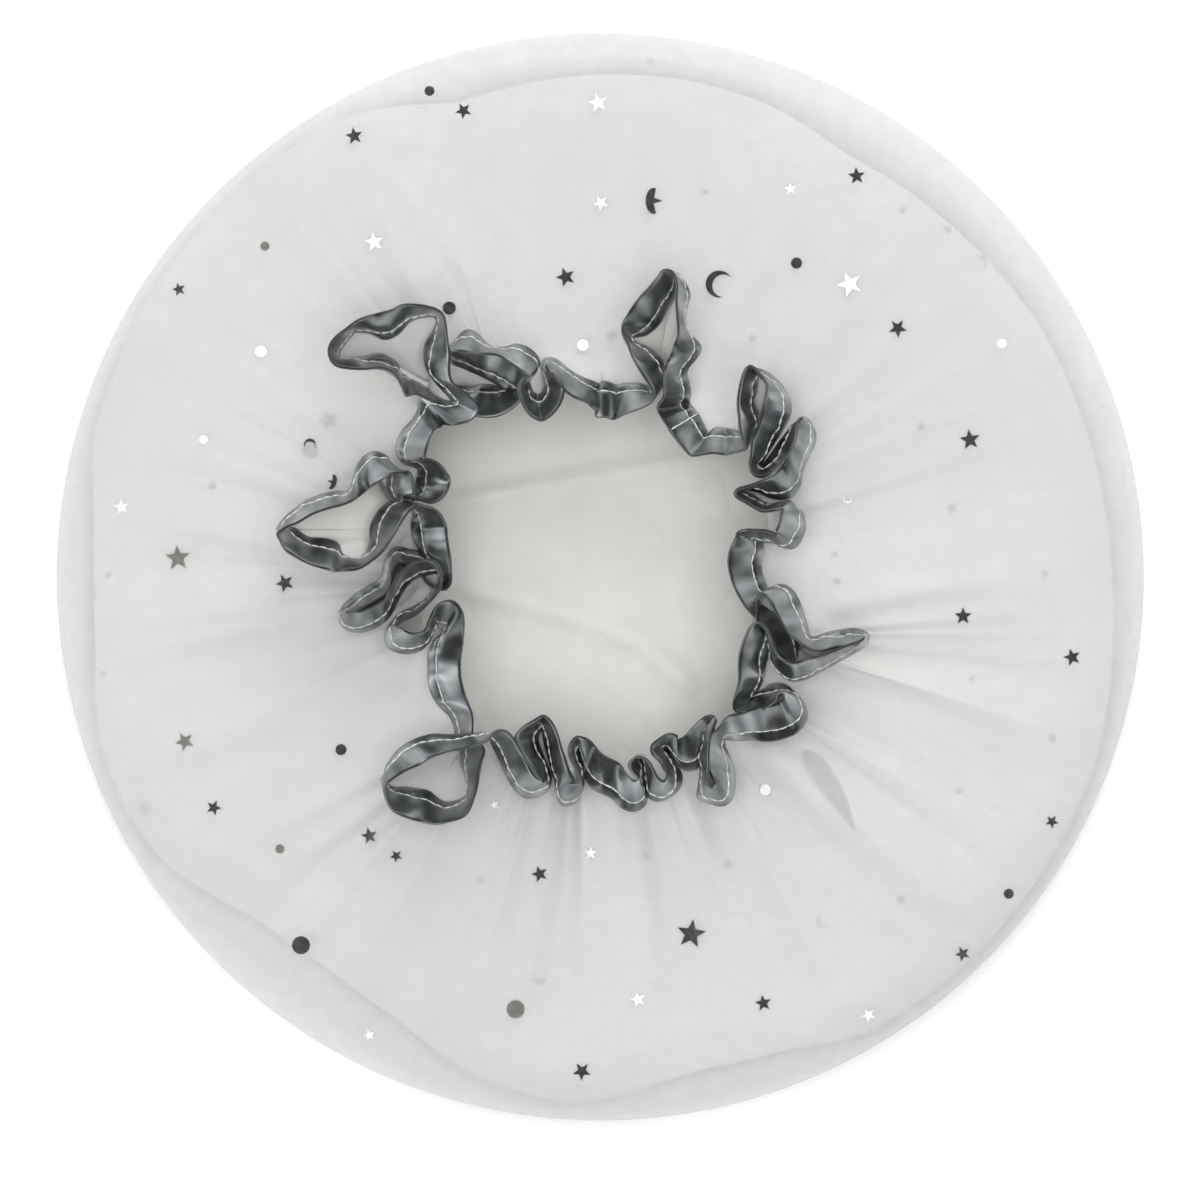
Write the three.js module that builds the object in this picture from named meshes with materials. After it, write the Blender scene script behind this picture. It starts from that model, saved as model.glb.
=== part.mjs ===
// A double-layer shower cap lying on its crown with the mouth up: a sheer outer bag, a film
// liner inside it, and a satin binding that is gathered round the mouth in standing loops.
// Millimetres, +Z up. The origin is on the floor under the middle of the round cap.
import * as THREE from 'three';

// ---------------------------------------------------------------- driving dimensions
const CAP_RADIUS = 145; // the round outline of the cap, laid flat
const MOUTH_X = -1; // middle of the gathered mouth
const MOUTH_Y = -3;

const COVER_WALL = 1.2; // sheer outer bag
const LINER_WALL = 1.0; // waterproof film bag
const LAYER_GAP = 0.4; // clearance from the bag to the liner inside it
const STATIONS_AROUND = 76; // angular steps of both bags

const PLEATS = 16; // radial gathers of the upper panel
const PLEAT_SWAY = 0.35; // how far the pleats stray from even spacing, in radians

const BINDING_WIDTH = 10; // folded satin tape, seam edge to free edge
const BINDING_THICKNESS = 1.0;
const ROUTE_STEP = 1; // spacing of the places worked out along the tape's route
const STRAIGHT_STEP = 4.5; // spacing of the tape's sections where it is straight
const TURN_STEP = 24; // and the most that it turns between sections, in degrees
const ROUNDING_PASSES = 10; // soften the tips of the folds to a radius of about 3 mm
const SETTLING_PASSES = 24; // how often close arms are stood up a little more
const SEAM_HEIGHT = 20; // the lowest height of the tape's seam edge
const BEND_SHARE = 0.7; // share of a bend's radius that the leaning tape may reach over
const TAPE_CLEARANCE = 1.5; // from the tape's middle surface to that of its next fold
const SAME_BEND = 15; // places nearer than this along the route are on one bend

// Rings of a bag, from the middle of the crown round the rim to the mouth. inset is measured in
// from the cap's radius, to_mouth is the share of the way from there to the mouth's edge, pleat
// is how high a gather stands, and pulled_in says how much of the liner's shrinkage the ring takes.
const RINGS = [
  { ring: 'inner crown', inset: 90, to_mouth: 0.0, height: 0.0, pleat: 0.0, pulled_in: 0.0 },
  { ring: 'outer crown', inset: 32, to_mouth: 0.0, height: 0.0, pleat: 0.0, pulled_in: 0.4 },
  { ring: 'crown edge', inset: 10, to_mouth: 0.0, height: 0.0, pleat: 0.0, pulled_in: 1.0 },
  { ring: 'low rim', inset: 2.6, to_mouth: 0.0, height: 2.4, pleat: 0.0, pulled_in: 1.0 },
  { ring: 'rim', inset: 0, to_mouth: 0.0, height: 6.6, pleat: 0.0, pulled_in: 1.0 },
  { ring: 'high rim', inset: 3.4, to_mouth: 0.0, height: 10.8, pleat: 0.1, pulled_in: 1.0 },
  { ring: 'outer panel', inset: 11, to_mouth: 0.0, height: 13.2, pleat: 0.3, pulled_in: 0.9 },
  { ring: 'middle panel', inset: 11, to_mouth: 0.35, height: 14.8, pleat: 0.8, pulled_in: 0.4 },
  { ring: 'gathered panel', inset: 11, to_mouth: 0.7, height: 16.3, pleat: 1.6, pulled_in: 0.1 },
  { ring: 'mouth edge', inset: 11, to_mouth: 1.0, height: 17.2, pleat: 2.0, pulled_in: 0.0 },
];

// The mouth's gathered edge, as a distance from the middle of the mouth.
const MOUTH_EDGE = [
  { at_deg: 10, reach: 45 },
  { at_deg: 45, reach: 54 },
  { at_deg: 90, reach: 54 },
  { at_deg: 130, reach: 66 },
  { at_deg: 165, reach: 52 },
  { at_deg: 195, reach: 46 },
  { at_deg: 230, reach: 53 },
  { at_deg: 265, reach: 49 },
  { at_deg: 300, reach: 53 },
  { at_deg: 340, reach: 57 },
];

// How far the liner's outline stays inside the cover's round one.
const LINER_OUTLINE = [
  { at_deg: 0, inset: 6 },
  { at_deg: 45, inset: 11 },
  { at_deg: 75, inset: 9 },
  { at_deg: 105, inset: 11 },
  { at_deg: 122, inset: 2 },
  { at_deg: 160, inset: 2 },
  { at_deg: 180, inset: 9 },
  { at_deg: 205, inset: 2 },
  { at_deg: 230, inset: 15 },
  { at_deg: 265, inset: 3 },
  { at_deg: 285, inset: 10 },
  { at_deg: 303, inset: 2 },
  { at_deg: 335, inset: 2 },
];

// The binding's loops and folds in their order round the mouth, anticlockwise from the east.
// A fold starts on the gathered line, at_deg round the middle of the mouth and line away from it.
// Its two feet are neck apart round the mouth and step apart across it. Its tip stands reach out
// and swing round from the feet. The arms are girth apart at belly of the way to the tip, moved
// aside by bow, with one arm skew ahead of the other. lean tilts the free edge to the left of the
// way round, in degrees from upright, and rise lifts the seam edge: at the first foot, the tip and
// the last foot. A row with one lean is a place on a plain run.
const FOLDS = [
  { fold: 'inner east arch', at_deg: 342, line: 56, neck: 2, step: 2, reach: -13, swing: 10,
    girth: -3, belly: 0.53, bow: -1, skew: 0, lean: [30, 40, 45], rise: [2, 3, 2] },
  { fold: 'east loop', at_deg: 344, line: 59, neck: 9, step: -2, reach: 13, swing: 7,
    girth: 6, belly: 0.45, bow: 0, skew: 2, lean: [25, 20, 35], rise: [3, 2, 3] },
  { fold: 'east run, lower', at_deg: 354, line: 54, lean: 56, rise: 2 },
  { fold: 'east run, middle', at_deg: 359, line: 48, lean: 62, rise: 1 },
  { fold: 'east run, upper', at_deg: 9, line: 40, lean: 66, rise: 0 },
  { fold: 'east hairpin', at_deg: 26, line: 44, neck: 8, step: 4, reach: 12, swing: -9,
    girth: 9, belly: 0.59, bow: -1, skew: -1, lean: [45, 38, 30], rise: [1, 1, 1] },
  { fold: 'north-east leaf', at_deg: 35, line: 52, neck: 1, step: 8, reach: 19, swing: 4,
    girth: 10, belly: 0.52, bow: -4, skew: 5, lean: [45, 30, 25], rise: [1, 2, 1] },
  { fold: 'north-east loop', at_deg: 41, line: 55, neck: 7, step: 2, reach: 14, swing: 16,
    girth: 10, belly: 0.55, bow: -2, skew: 1, lean: [40, 5, -40], rise: [1, 3, 2] },
  { fold: 'corner, right', at_deg: 49, line: 52, lean: 52, rise: 1 },
  { fold: 'corner', at_deg: 54, line: 48, lean: 62, rise: 0 },
  { fold: 'joined run', at_deg: 63, line: 51, lean: 68, rise: 0 },
  { fold: 'north loop', at_deg: 71, line: 57, neck: 8, step: -1, reach: 29, swing: 10,
    girth: 14, belly: 0.54, bow: 2, skew: 2, lean: [38, -25, -20], rise: [1, 3, 2] },
  { fold: 'north run, right', at_deg: 78, line: 52, lean: 60, rise: 0 },
  { fold: 'north pleat, right', at_deg: 87, line: 52, lean: 64, rise: 0 },
  { fold: 'north pleat, left', at_deg: 92, line: 53, lean: 40, rise: 1 },
  { fold: 'north run, left', at_deg: 97, line: 56, lean: 50, rise: 2 },
  { fold: 'small ring', at_deg: 104, line: 59, neck: 8, step: 2, reach: -12, swing: 4,
    girth: -10, belly: 0.59, bow: -1, skew: 1, lean: [40, 25, 30], rise: [2, 3, 4] },
  { fold: 'flattened loop', at_deg: 109, line: 62, neck: 10, step: -3, reach: 11, swing: 12,
    girth: 7, belly: 0.48, bow: 0, skew: 1, lean: [30, 30, 62], rise: [5, 5, 4] },
  { fold: 'north-west run, right', at_deg: 116, line: 56, lean: 60, rise: 0 },
  { fold: 'north-west run, left', at_deg: 125, line: 60, lean: 68, rise: 0 },
  { fold: 'north-west loop', at_deg: 128, line: 69, neck: 4, step: 3, reach: 25, swing: 15,
    girth: 14, belly: 0.37, bow: -7, skew: 12, lean: [-30, -40, 15], rise: [3, 3, 1] },
  { fold: 'west strip, upper', at_deg: 136, line: 64, lean: 56, rise: 0 },
  { fold: 'west strip, lower', at_deg: 144, line: 62, lean: 56, rise: 0 },
  { fold: 'west hairpin', at_deg: 147, line: 59, neck: 7, step: 6, reach: -9, swing: 5,
    girth: -10, belly: 0.58, bow: 0, skew: -2, lean: [50, 62, -50], rise: [0, 1, 1] },
  { fold: 'west loop', at_deg: 153, line: 62, neck: 9, step: -11, reach: 20, swing: 26,
    girth: 18, belly: 0.53, bow: 6, skew: 6, lean: [30, -45, -25], rise: [2, 2, 3] },
  { fold: 'west run, upper', at_deg: 160, line: 49, lean: 64, rise: 0 },
  { fold: 'west run, lower', at_deg: 169, line: 44, lean: 60, rise: 0 },
  { fold: 'upper twin loop', at_deg: 172, line: 48, neck: 3, step: -2, reach: 19, swing: 15,
    girth: 11, belly: 0.54, bow: 2, skew: 5, lean: [25, 38, 30], rise: [2, 2, 3] },
  { fold: 'lower twin loop', at_deg: 183, line: 42, neck: 9, step: 1, reach: 12, swing: 13,
    girth: 10, belly: 0.56, bow: 1, skew: 2, lean: [25, 35, 30], rise: [2, 1, 2] },
  { fold: 'turn after the twins', at_deg: 188, line: 40, lean: 35, rise: 1 },
  { fold: 'south-west run, upper', at_deg: 202, line: 43, lean: 60, rise: 0 },
  { fold: 'south-west run, lower', at_deg: 218, line: 49, lean: 58, rise: 0 },
  { fold: 'crossed loop', at_deg: 229, line: 52, neck: 2, step: -2, reach: 26, swing: 0,
    girth: -21, belly: 0.54, bow: -1, skew: 7, lean: [66, 48, -62], rise: [0, 1, 9] },
  { fold: 'first wave', at_deg: 241, line: 44, neck: 7, step: -6, reach: 11, swing: 11,
    girth: 6, belly: 0.61, bow: 0, skew: 2, lean: [50, 50, 25], rise: [3, 0, 1] },
  { fold: 'second wave', at_deg: 257, line: 41, neck: 8, step: 4, reach: 16, swing: 5,
    girth: 4, belly: 0.52, bow: 0, skew: 4, lean: [30, 30, 30], rise: [1, 1, 1] },
  { fold: 'south run', at_deg: 270, line: 45, lean: 45, rise: 1 },
  { fold: 'south loop', at_deg: 280, line: 49, neck: 5, step: 0, reach: 8, swing: -3,
    girth: 12, belly: 0.73, bow: -1, skew: 0, lean: [35, 40, 40], rise: [1, 1, 1] },
  { fold: 'south fold', at_deg: 288, line: 47, neck: 5, step: -3, reach: 9, swing: 3,
    girth: 7, belly: 0.64, bow: -1, skew: -3, lean: [40, 40, 40], rise: [1, 1, 1] },
  { fold: 'south-east run', at_deg: 300, line: 49, lean: 66, rise: 1 },
  { fold: 'south-east drop', at_deg: 309, line: 50, neck: 1, step: 5, reach: 13, swing: -11,
    girth: 7, belly: 0.58, bow: 1, skew: 1, lean: [40, 30, 30], rise: [2, 1, 2] },
  { fold: 'south-east fold', at_deg: 318, line: 52, neck: 8, step: -1, reach: 11, swing: 11,
    girth: 7, belly: 0.63, bow: 0, skew: 3, lean: [50, 45, 30], rise: [3, 2, 1] },
  { fold: 'outer east arch', at_deg: 333, line: 50, neck: 12, step: 5, reach: -7, swing: 11,
    girth: -7, belly: 0.59, bow: 0, skew: 2, lean: [60, 45, 30], rise: [2, 4, 3] },
];

// ---------------------------------------------------------------- helpers
const radians = THREE.MathUtils.degToRad;

// A smooth closed curve through the rows of a table, as a function of the angle in degrees.
function roundTable(rows, column) {
  const count = rows.length;
  const at = (i) => rows[((i % count) + count) % count].at_deg + 360 * Math.floor(i / count);
  const value = (i) => rows[((i % count) + count) % count][column];
  const slope = (i) => (value(i + 1) - value(i - 1)) / (at(i + 1) - at(i - 1));
  return (degrees) => {
    const angle = ((degrees % 360) + 360) % 360;
    let i = -1;
    while (at(i + 1) <= angle) {
      i += 1;
    }
    const span = at(i + 1) - at(i);
    const t = (angle - at(i)) / span;
    const bend = t * t * (3 - 2 * t);
    const leave = t * (1 - t) * (1 - t) * span * slope(i);
    const arrive = t * t * (t - 1) * span * slope(i + 1);
    return value(i) * (1 - bend) + value(i + 1) * bend + leave + arrive;
  };
}

function closedMesh(name, positions, triangles, material) {
  const geometry = new THREE.BufferGeometry();
  geometry.setAttribute('position', new THREE.Float32BufferAttribute(positions, 3));
  geometry.setIndex(triangles);
  geometry.computeVertexNormals();
  const mesh = new THREE.Mesh(geometry, material);
  mesh.name = name;
  return mesh;
}

// ---------------------------------------------------------------- the two bags
const mouthEdge = roundTable(MOUTH_EDGE, 'reach');
const linerInset = roundTable(LINER_OUTLINE, 'inset');

// The gathers stand up between the stations of a slightly uneven wave.
function pleatHeight(degrees) {
  const angle = radians(degrees);
  const wave = PLEATS * angle + PLEAT_SWAY * PLEATS * 0.25 * Math.sin(3 * angle);
  return 0.5 + 0.5 * Math.cos(wave);
}

// A point of a ring on the cover's outside face, or on the liner's where shrink is 1.
function ringPoint(row, degrees, shrink) {
  const direction = new THREE.Vector2(Math.cos(radians(degrees)), Math.sin(radians(degrees)));
  const shrunk = shrink * row.pulled_in * linerInset(degrees);
  const outside = direction.clone().multiplyScalar(CAP_RADIUS - row.inset - shrunk);
  const mouth = direction.clone().multiplyScalar(mouthEdge(degrees));
  mouth.add(new THREE.Vector2(MOUTH_X, MOUTH_Y));
  const place = outside.lerp(mouth, row.to_mouth);
  return new THREE.Vector3(place.x, place.y, row.height + row.pleat * pleatHeight(degrees));
}

// One spoke of a bag from the crown to the mouth, moved inward by depth along its own normal.
function spoke(degrees, shrink, depth) {
  const points = RINGS.map((row) => ringPoint(row, degrees, shrink));
  const axle = new THREE.Vector3(-Math.sin(radians(degrees)), Math.cos(radians(degrees)), 0);
  return points.map((point, i) => {
    const before = i === 0 ? new THREE.Vector3(0, 0, 0) : points[i - 1];
    const after = points[Math.min(i + 1, points.length - 1)];
    const last = i === points.length - 1;
    const arriving = point.clone().sub(before).normalize();
    const leaving = last ? arriving : after.clone().sub(point).normalize();
    const inward = new THREE.Vector3().crossVectors(arriving.clone().add(leaving), axle).normalize();
    const stretch = 1 / Math.sqrt((1 + arriving.dot(leaving)) / 2);
    return point.clone().addScaledVector(inward, depth * stretch);
  });
}

// A bag is two skins, wall apart, that join at the mouth's edge. Each skin closes at the crown.
function bag(name, shrink, depth, wall, material) {
  const positions = [];
  const triangles = [];
  const rings = RINGS.length;
  const skins = [depth, depth + wall];
  for (const level of skins) {
    positions.push(0, 0, level);
    for (let j = 0; j < STATIONS_AROUND; j += 1) {
      for (const point of spoke((360 * j) / STATIONS_AROUND, shrink, level)) {
        positions.push(point.x, point.y, point.z);
      }
    }
  }
  const perSkin = 1 + STATIONS_AROUND * rings;
  const at = (skin, j, ring) => skin * perSkin + 1 + (j % STATIONS_AROUND) * rings + ring;
  for (let skin = 0; skin < 2; skin += 1) {
    const face = (a, b, c) => triangles.push(...(skin === 0 ? [a, b, c] : [a, c, b]));
    for (let j = 0; j < STATIONS_AROUND; j += 1) {
      face(skin * perSkin, at(skin, j + 1, 0), at(skin, j, 0));
      for (let ring = 0; ring < rings - 1; ring += 1) {
        face(at(skin, j, ring), at(skin, j + 1, ring), at(skin, j + 1, ring + 1));
        face(at(skin, j, ring), at(skin, j + 1, ring + 1), at(skin, j, ring + 1));
      }
    }
  }
  for (let j = 0; j < STATIONS_AROUND; j += 1) {
    const lip = rings - 1;
    triangles.push(at(0, j, lip), at(0, j + 1, lip), at(1, j + 1, lip));
    triangles.push(at(0, j, lip), at(1, j + 1, lip), at(1, j, lip));
  }
  return closedMesh(name, positions, triangles, material);
}

// ---------------------------------------------------------------- the binding
// The handful of places that a fold gives to the tape's route, each with its lean and height.
function foldPlaces(row) {
  const out = new THREE.Vector2(Math.cos(radians(row.at_deg)), Math.sin(radians(row.at_deg)));
  const round = new THREE.Vector2(-out.y, out.x);
  const base = out.clone().multiplyScalar(row.line).add(new THREE.Vector2(MOUTH_X, MOUTH_Y));
  if (row.reach === undefined) {
    return [{ place: base, lean: row.lean, rise: row.rise }];
  }
  const toTip = out.clone().multiplyScalar(row.reach).addScaledVector(round, row.swing);
  const along = toTip.clone().normalize();
  const across = new THREE.Vector2(-along.y, along.x);
  const halfNeck = round.clone().multiplyScalar(row.neck / 2).addScaledVector(out, row.step / 2);
  const halfGirth = across.clone().multiplyScalar(row.girth / 2).addScaledVector(along, row.skew / 2);
  const middle = base.clone().addScaledVector(toTip, row.belly).addScaledVector(across, row.bow);
  const [leanIn, leanTip, leanOut] = row.lean;
  const [riseIn, riseTip, riseOut] = row.rise;
  return [
    { place: base.clone().sub(halfNeck), lean: leanIn, rise: riseIn },
    { place: middle.clone().sub(halfGirth), lean: (leanIn + leanTip) / 2, rise: (riseIn + riseTip) / 2 },
    { place: base.clone().add(toTip), lean: leanTip, rise: riseTip },
    { place: middle.clone().add(halfGirth), lean: (leanOut + leanTip) / 2, rise: (riseOut + riseTip) / 2 },
    { place: base.clone().add(halfNeck), lean: leanOut, rise: riseOut },
  ];
}

// The tape's middle line, lean and seam height at even steps, with its tips rounded off.
function bindingRoute() {
  const places = FOLDS.flatMap(foldPlaces);
  const points = places.map(({ place, lean, rise }) => {
    const height = SEAM_HEIGHT + rise + (BINDING_WIDTH / 2) * Math.cos(radians(lean));
    return new THREE.Vector3(place.x, place.y, height);
  });
  const curve = new THREE.CatmullRomCurve3(points, true, 'centripetal');
  curve.arcLengthDivisions = places.length * 24;
  const count = Math.round(curve.getLength() / ROUTE_STEP);
  const stations = [];
  for (let i = 0; i < count; i += 1) {
    const t = curve.getUtoTmapping(i / count);
    const before = Math.floor(t * places.length) % places.length;
    const after = (before + 1) % places.length;
    const share = THREE.MathUtils.smoothstep((t * places.length) % 1, 0, 1);
    const lean = THREE.MathUtils.lerp(places[before].lean, places[after].lean, share);
    const point = curve.getPoint(t);
    stations.push({ point, lean, seam: point.z - (BINDING_WIDTH / 2) * Math.cos(radians(lean)) });
  }
  for (let pass = 0; pass < ROUNDING_PASSES; pass += 1) {
    softenRound(stations, (station) => station.point.x, (station, x) => { station.point.x = x; });
    softenRound(stations, (station) => station.point.y, (station, y) => { station.point.y = y; });
    softenRound(stations, (station) => station.seam, (station, seam) => { station.seam = seam; });
  }
  stations.forEach((station, i) => {
    const ahead = stations[(i + 1) % count].point;
    station.tangent = ahead.clone().sub(stations[(i + count - 1) % count].point).normalize();
  });
  return stations;
}

// One pass of averaging with the two neighbours, all the way round the route.
function softenRound(stations, read, write) {
  const count = stations.length;
  const values = stations.map(read);
  stations.forEach((station, i) => {
    write(station, (values[(i + count - 1) % count] + 2 * values[i] + values[(i + 1) % count]) / 4);
  });
}

// The most that the tape can lean where it bends: its edge stays short of the bend's middle.
function limitInBends(stations) {
  const count = stations.length;
  const near = (i) => stations[(i + count) % count];
  stations.forEach((station, i) => {
    const turn = near(i - 2).tangent.angleTo(near(i + 2).tangent);
    const radius = near(i - 2).point.distanceTo(near(i + 2).point) / Math.max(turn, 1e-6);
    const room = Math.max(0, BEND_SHARE * radius - BINDING_THICKNESS);
    station.limit = THREE.MathUtils.radToDeg(Math.asin(Math.min(1, room / (BINDING_WIDTH / 2))));
  });
}

function softenLean(stations) {
  softenRound(stations, (station) => station.lean, (station, lean) => { station.lean = lean; });
  for (const station of stations) {
    station.lean = THREE.MathUtils.clamp(station.lean, -station.limit, station.limit);
  }
}

// The tape's width, from its seam edge to its free edge, and the side that it faces.
function tapeFrame({ tangent, lean }) {
  const left = new THREE.Vector3(-tangent.y, tangent.x, 0).normalize();
  const width = left.multiplyScalar(Math.sin(radians(lean)));
  width.z = Math.cos(radians(lean));
  return { width, face: new THREE.Vector3().crossVectors(tangent, width).normalize() };
}

function liftOntoSeam(station) {
  station.point.z = station.seam + (BINDING_WIDTH / 2) * Math.cos(radians(station.lean));
}

// Tape stands up, a little at a time, where two of its arms would touch. Arms that cross one
// over the other stay as they lie.
function standUpWhereClose(stations) {
  const count = stations.length;
  for (let pass = 0; pass < SETTLING_PASSES; pass += 1) {
    softenLean(stations);
    stations.forEach(liftOntoSeam);
    const spans = stations.map((station) => {
      const half = tapeFrame(station).width.multiplyScalar(BINDING_WIDTH / 2);
      return new THREE.Line3(station.point.clone().sub(half), station.point.clone().add(half));
    });
    const tight = new Array(count).fill(0);
    for (let i = 0; i < count; i += 1) {
      for (let j = i + 4; j < count; j += 1) {
        const apart = Math.min(j - i, count - (j - i)) * ROUTE_STEP;
        const centres = stations[i].point.distanceTo(stations[j].point);
        if (apart < 4 * ROUTE_STEP || centres > BINDING_WIDTH + TAPE_CLEARANCE) {
          continue;
        }
        const crossing = Math.abs(stations[i].tangent.dot(stations[j].tangent)) < 0.5;
        const clearance = Math.min(TAPE_CLEARANCE, 0.3 * apart);
        if (crossing && apart > SAME_BEND) {
          continue;
        }
        if (spans[i].distanceSqToLine3(spans[j]) < clearance * clearance) {
          tight[i] = 1;
          tight[j] = 1;
        }
      }
    }
    stations.forEach((station, i) => {
      station.lean *= 1 - 0.08 * tight[i];
    });
  }
  stations.forEach(liftOntoSeam);
}

// The stations where the tape gets a section: close together in bends and twists.
function chooseSections(stations) {
  const chosen = [];
  let owed = 1;
  stations.forEach((station, i) => {
    const before = stations[(i + stations.length - 1) % stations.length];
    const turned = tapeFrame(station).face.angleTo(tapeFrame(before).face);
    owed += ROUTE_STEP / STRAIGHT_STEP + THREE.MathUtils.radToDeg(turned) / TURN_STEP;
    if (owed >= 1) {
      chosen.push(station);
      owed = 0;
    }
  });
  return chosen;
}

function binding(material) {
  const stations = bindingRoute();
  limitInBends(stations);
  standUpWhereClose(stations);
  const sections = chooseSections(stations);
  const positions = [];
  const triangles = [];
  for (const station of sections) {
    const { width, face } = tapeFrame(station);
    for (const [w, f] of [[-1, -1], [1, -1], [1, 1], [-1, 1]]) {
      const corner = station.point.clone().addScaledVector(width, (w * BINDING_WIDTH) / 2);
      corner.addScaledVector(face, (f * BINDING_THICKNESS) / 2);
      positions.push(corner.x, corner.y, corner.z);
    }
  }
  for (let i = 0; i < sections.length; i += 1) {
    const here = 4 * i;
    const next = 4 * ((i + 1) % sections.length);
    for (let side = 0; side < 4; side += 1) {
      const other = (side + 1) % 4;
      triangles.push(here + side, here + other, next + other);
      triangles.push(here + side, next + other, next + side);
    }
  }
  return closedMesh('binding', positions, triangles, material);
}

// ---------------------------------------------------------------- materials and assembly
const sheerCloth = new THREE.MeshStandardMaterial({ color: 0xe4e6e2, roughness: 0.55, metalness: 0.0 });
const film = new THREE.MeshStandardMaterial({ color: 0xd9dbd3, roughness: 0.4, metalness: 0.0 });
const satin = new THREE.MeshStandardMaterial({ color: 0x6d7376, roughness: 0.35, metalness: 0.0 });

const showerCap = new THREE.Group();
showerCap.name = 'shower_cap';
showerCap.add(bag('cover', 0, 0, COVER_WALL, sheerCloth));
showerCap.add(bag('liner', 1, COVER_WALL + LAYER_GAP, LINER_WALL, film));
showerCap.add(binding(satin));

export default showerCap;
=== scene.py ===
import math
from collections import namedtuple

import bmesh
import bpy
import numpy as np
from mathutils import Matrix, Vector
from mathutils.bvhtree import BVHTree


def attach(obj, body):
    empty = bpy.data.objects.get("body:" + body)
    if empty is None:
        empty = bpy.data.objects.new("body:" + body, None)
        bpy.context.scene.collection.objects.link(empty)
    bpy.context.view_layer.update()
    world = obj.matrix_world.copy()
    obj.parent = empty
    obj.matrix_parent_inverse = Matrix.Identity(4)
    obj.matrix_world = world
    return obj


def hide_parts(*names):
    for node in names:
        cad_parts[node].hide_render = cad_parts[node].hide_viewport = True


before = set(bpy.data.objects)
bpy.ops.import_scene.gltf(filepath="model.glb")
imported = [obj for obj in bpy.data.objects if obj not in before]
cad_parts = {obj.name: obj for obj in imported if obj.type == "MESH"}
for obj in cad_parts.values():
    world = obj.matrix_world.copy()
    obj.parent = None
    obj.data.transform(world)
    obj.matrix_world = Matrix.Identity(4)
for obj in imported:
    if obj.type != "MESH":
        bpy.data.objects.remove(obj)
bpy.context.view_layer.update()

# %% [markdown]
# # A double-layer shower cap with a satin binding
#
# The cap is three soft pieces: a round bag of sheer organza printed with silver foil, a bag of
# frosted film inside it, and a satin tape that is folded over the raw edge of both and stitched.
# An elastic cord inside the tape draws 1.3 m of it into a small mouth, so it stands up in loops.
# The lesson follows one idea: the tape's route is worked out first, and both bags then start
# from the tape's seam edge, loop by loop, and run out to the rim and under to the crown.
#
# Lengths in the tables are millimetres, which read well at this size. MM turns them to metres.

MM = 0.001

# %% [markdown]
# ## The camera, straight above
#
# The cap lies flat and is looked at from straight above. A long lens far away keeps the
# standing loops from leaning outwards, much as a copy stand would. The lens follows from the
# width that has to fit the picture, so the size in the picture is right by construction.

# %% Camera
CAP_RADIUS = 145.0
PICTURE_WIDTH = 320.2
CAMERA_HEIGHT = 2500.0
RIM_HEIGHT = 6.6
PICTURE_MIDDLE = (-0.1, -6.1)
SENSOR = 36.0

camera_data = bpy.data.cameras.new("overhead_camera")
camera_data.sensor_width = SENSOR
camera_data.lens = SENSOR * CAMERA_HEIGHT / PICTURE_WIDTH
camera = bpy.data.objects.new("overhead_camera", camera_data)
camera.location = (PICTURE_MIDDLE[0] * MM, PICTURE_MIDDLE[1] * MM, (CAMERA_HEIGHT + RIM_HEIGHT) * MM)
bpy.context.scene.collection.objects.link(camera)
bpy.context.scene.camera = camera
print("lens in mm", round(camera_data.lens))

# %% [markdown]
# ## The tape's route
#
# The binding never lies in a neat ring: the elastic is much shorter than the tape, so the tape
# wanders in and out in loops, hairpins and waves. Simulating that would give other loops each
# time, so the way it lies is charted, as a pattern cutter would note it. Going anticlockwise
# from the south-east, each place gives where the seam edge is, where the free edge is, and how
# far the seam edge is raised in millimetres. The places are in squares of the camera's picture,
# across and down. The tape is 10 mm wide, so where its two edges look closer than that, it
# stands up: its tilt follows from the chart.

# %% The chart of the tape
CHART_SQUARE = PICTURE_WIDTH / 1200
CHART_MIDDLE = (600.5, 577)
TAPE_WIDTH = 10.0
SEAM_HEIGHT = 20.0

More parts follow.
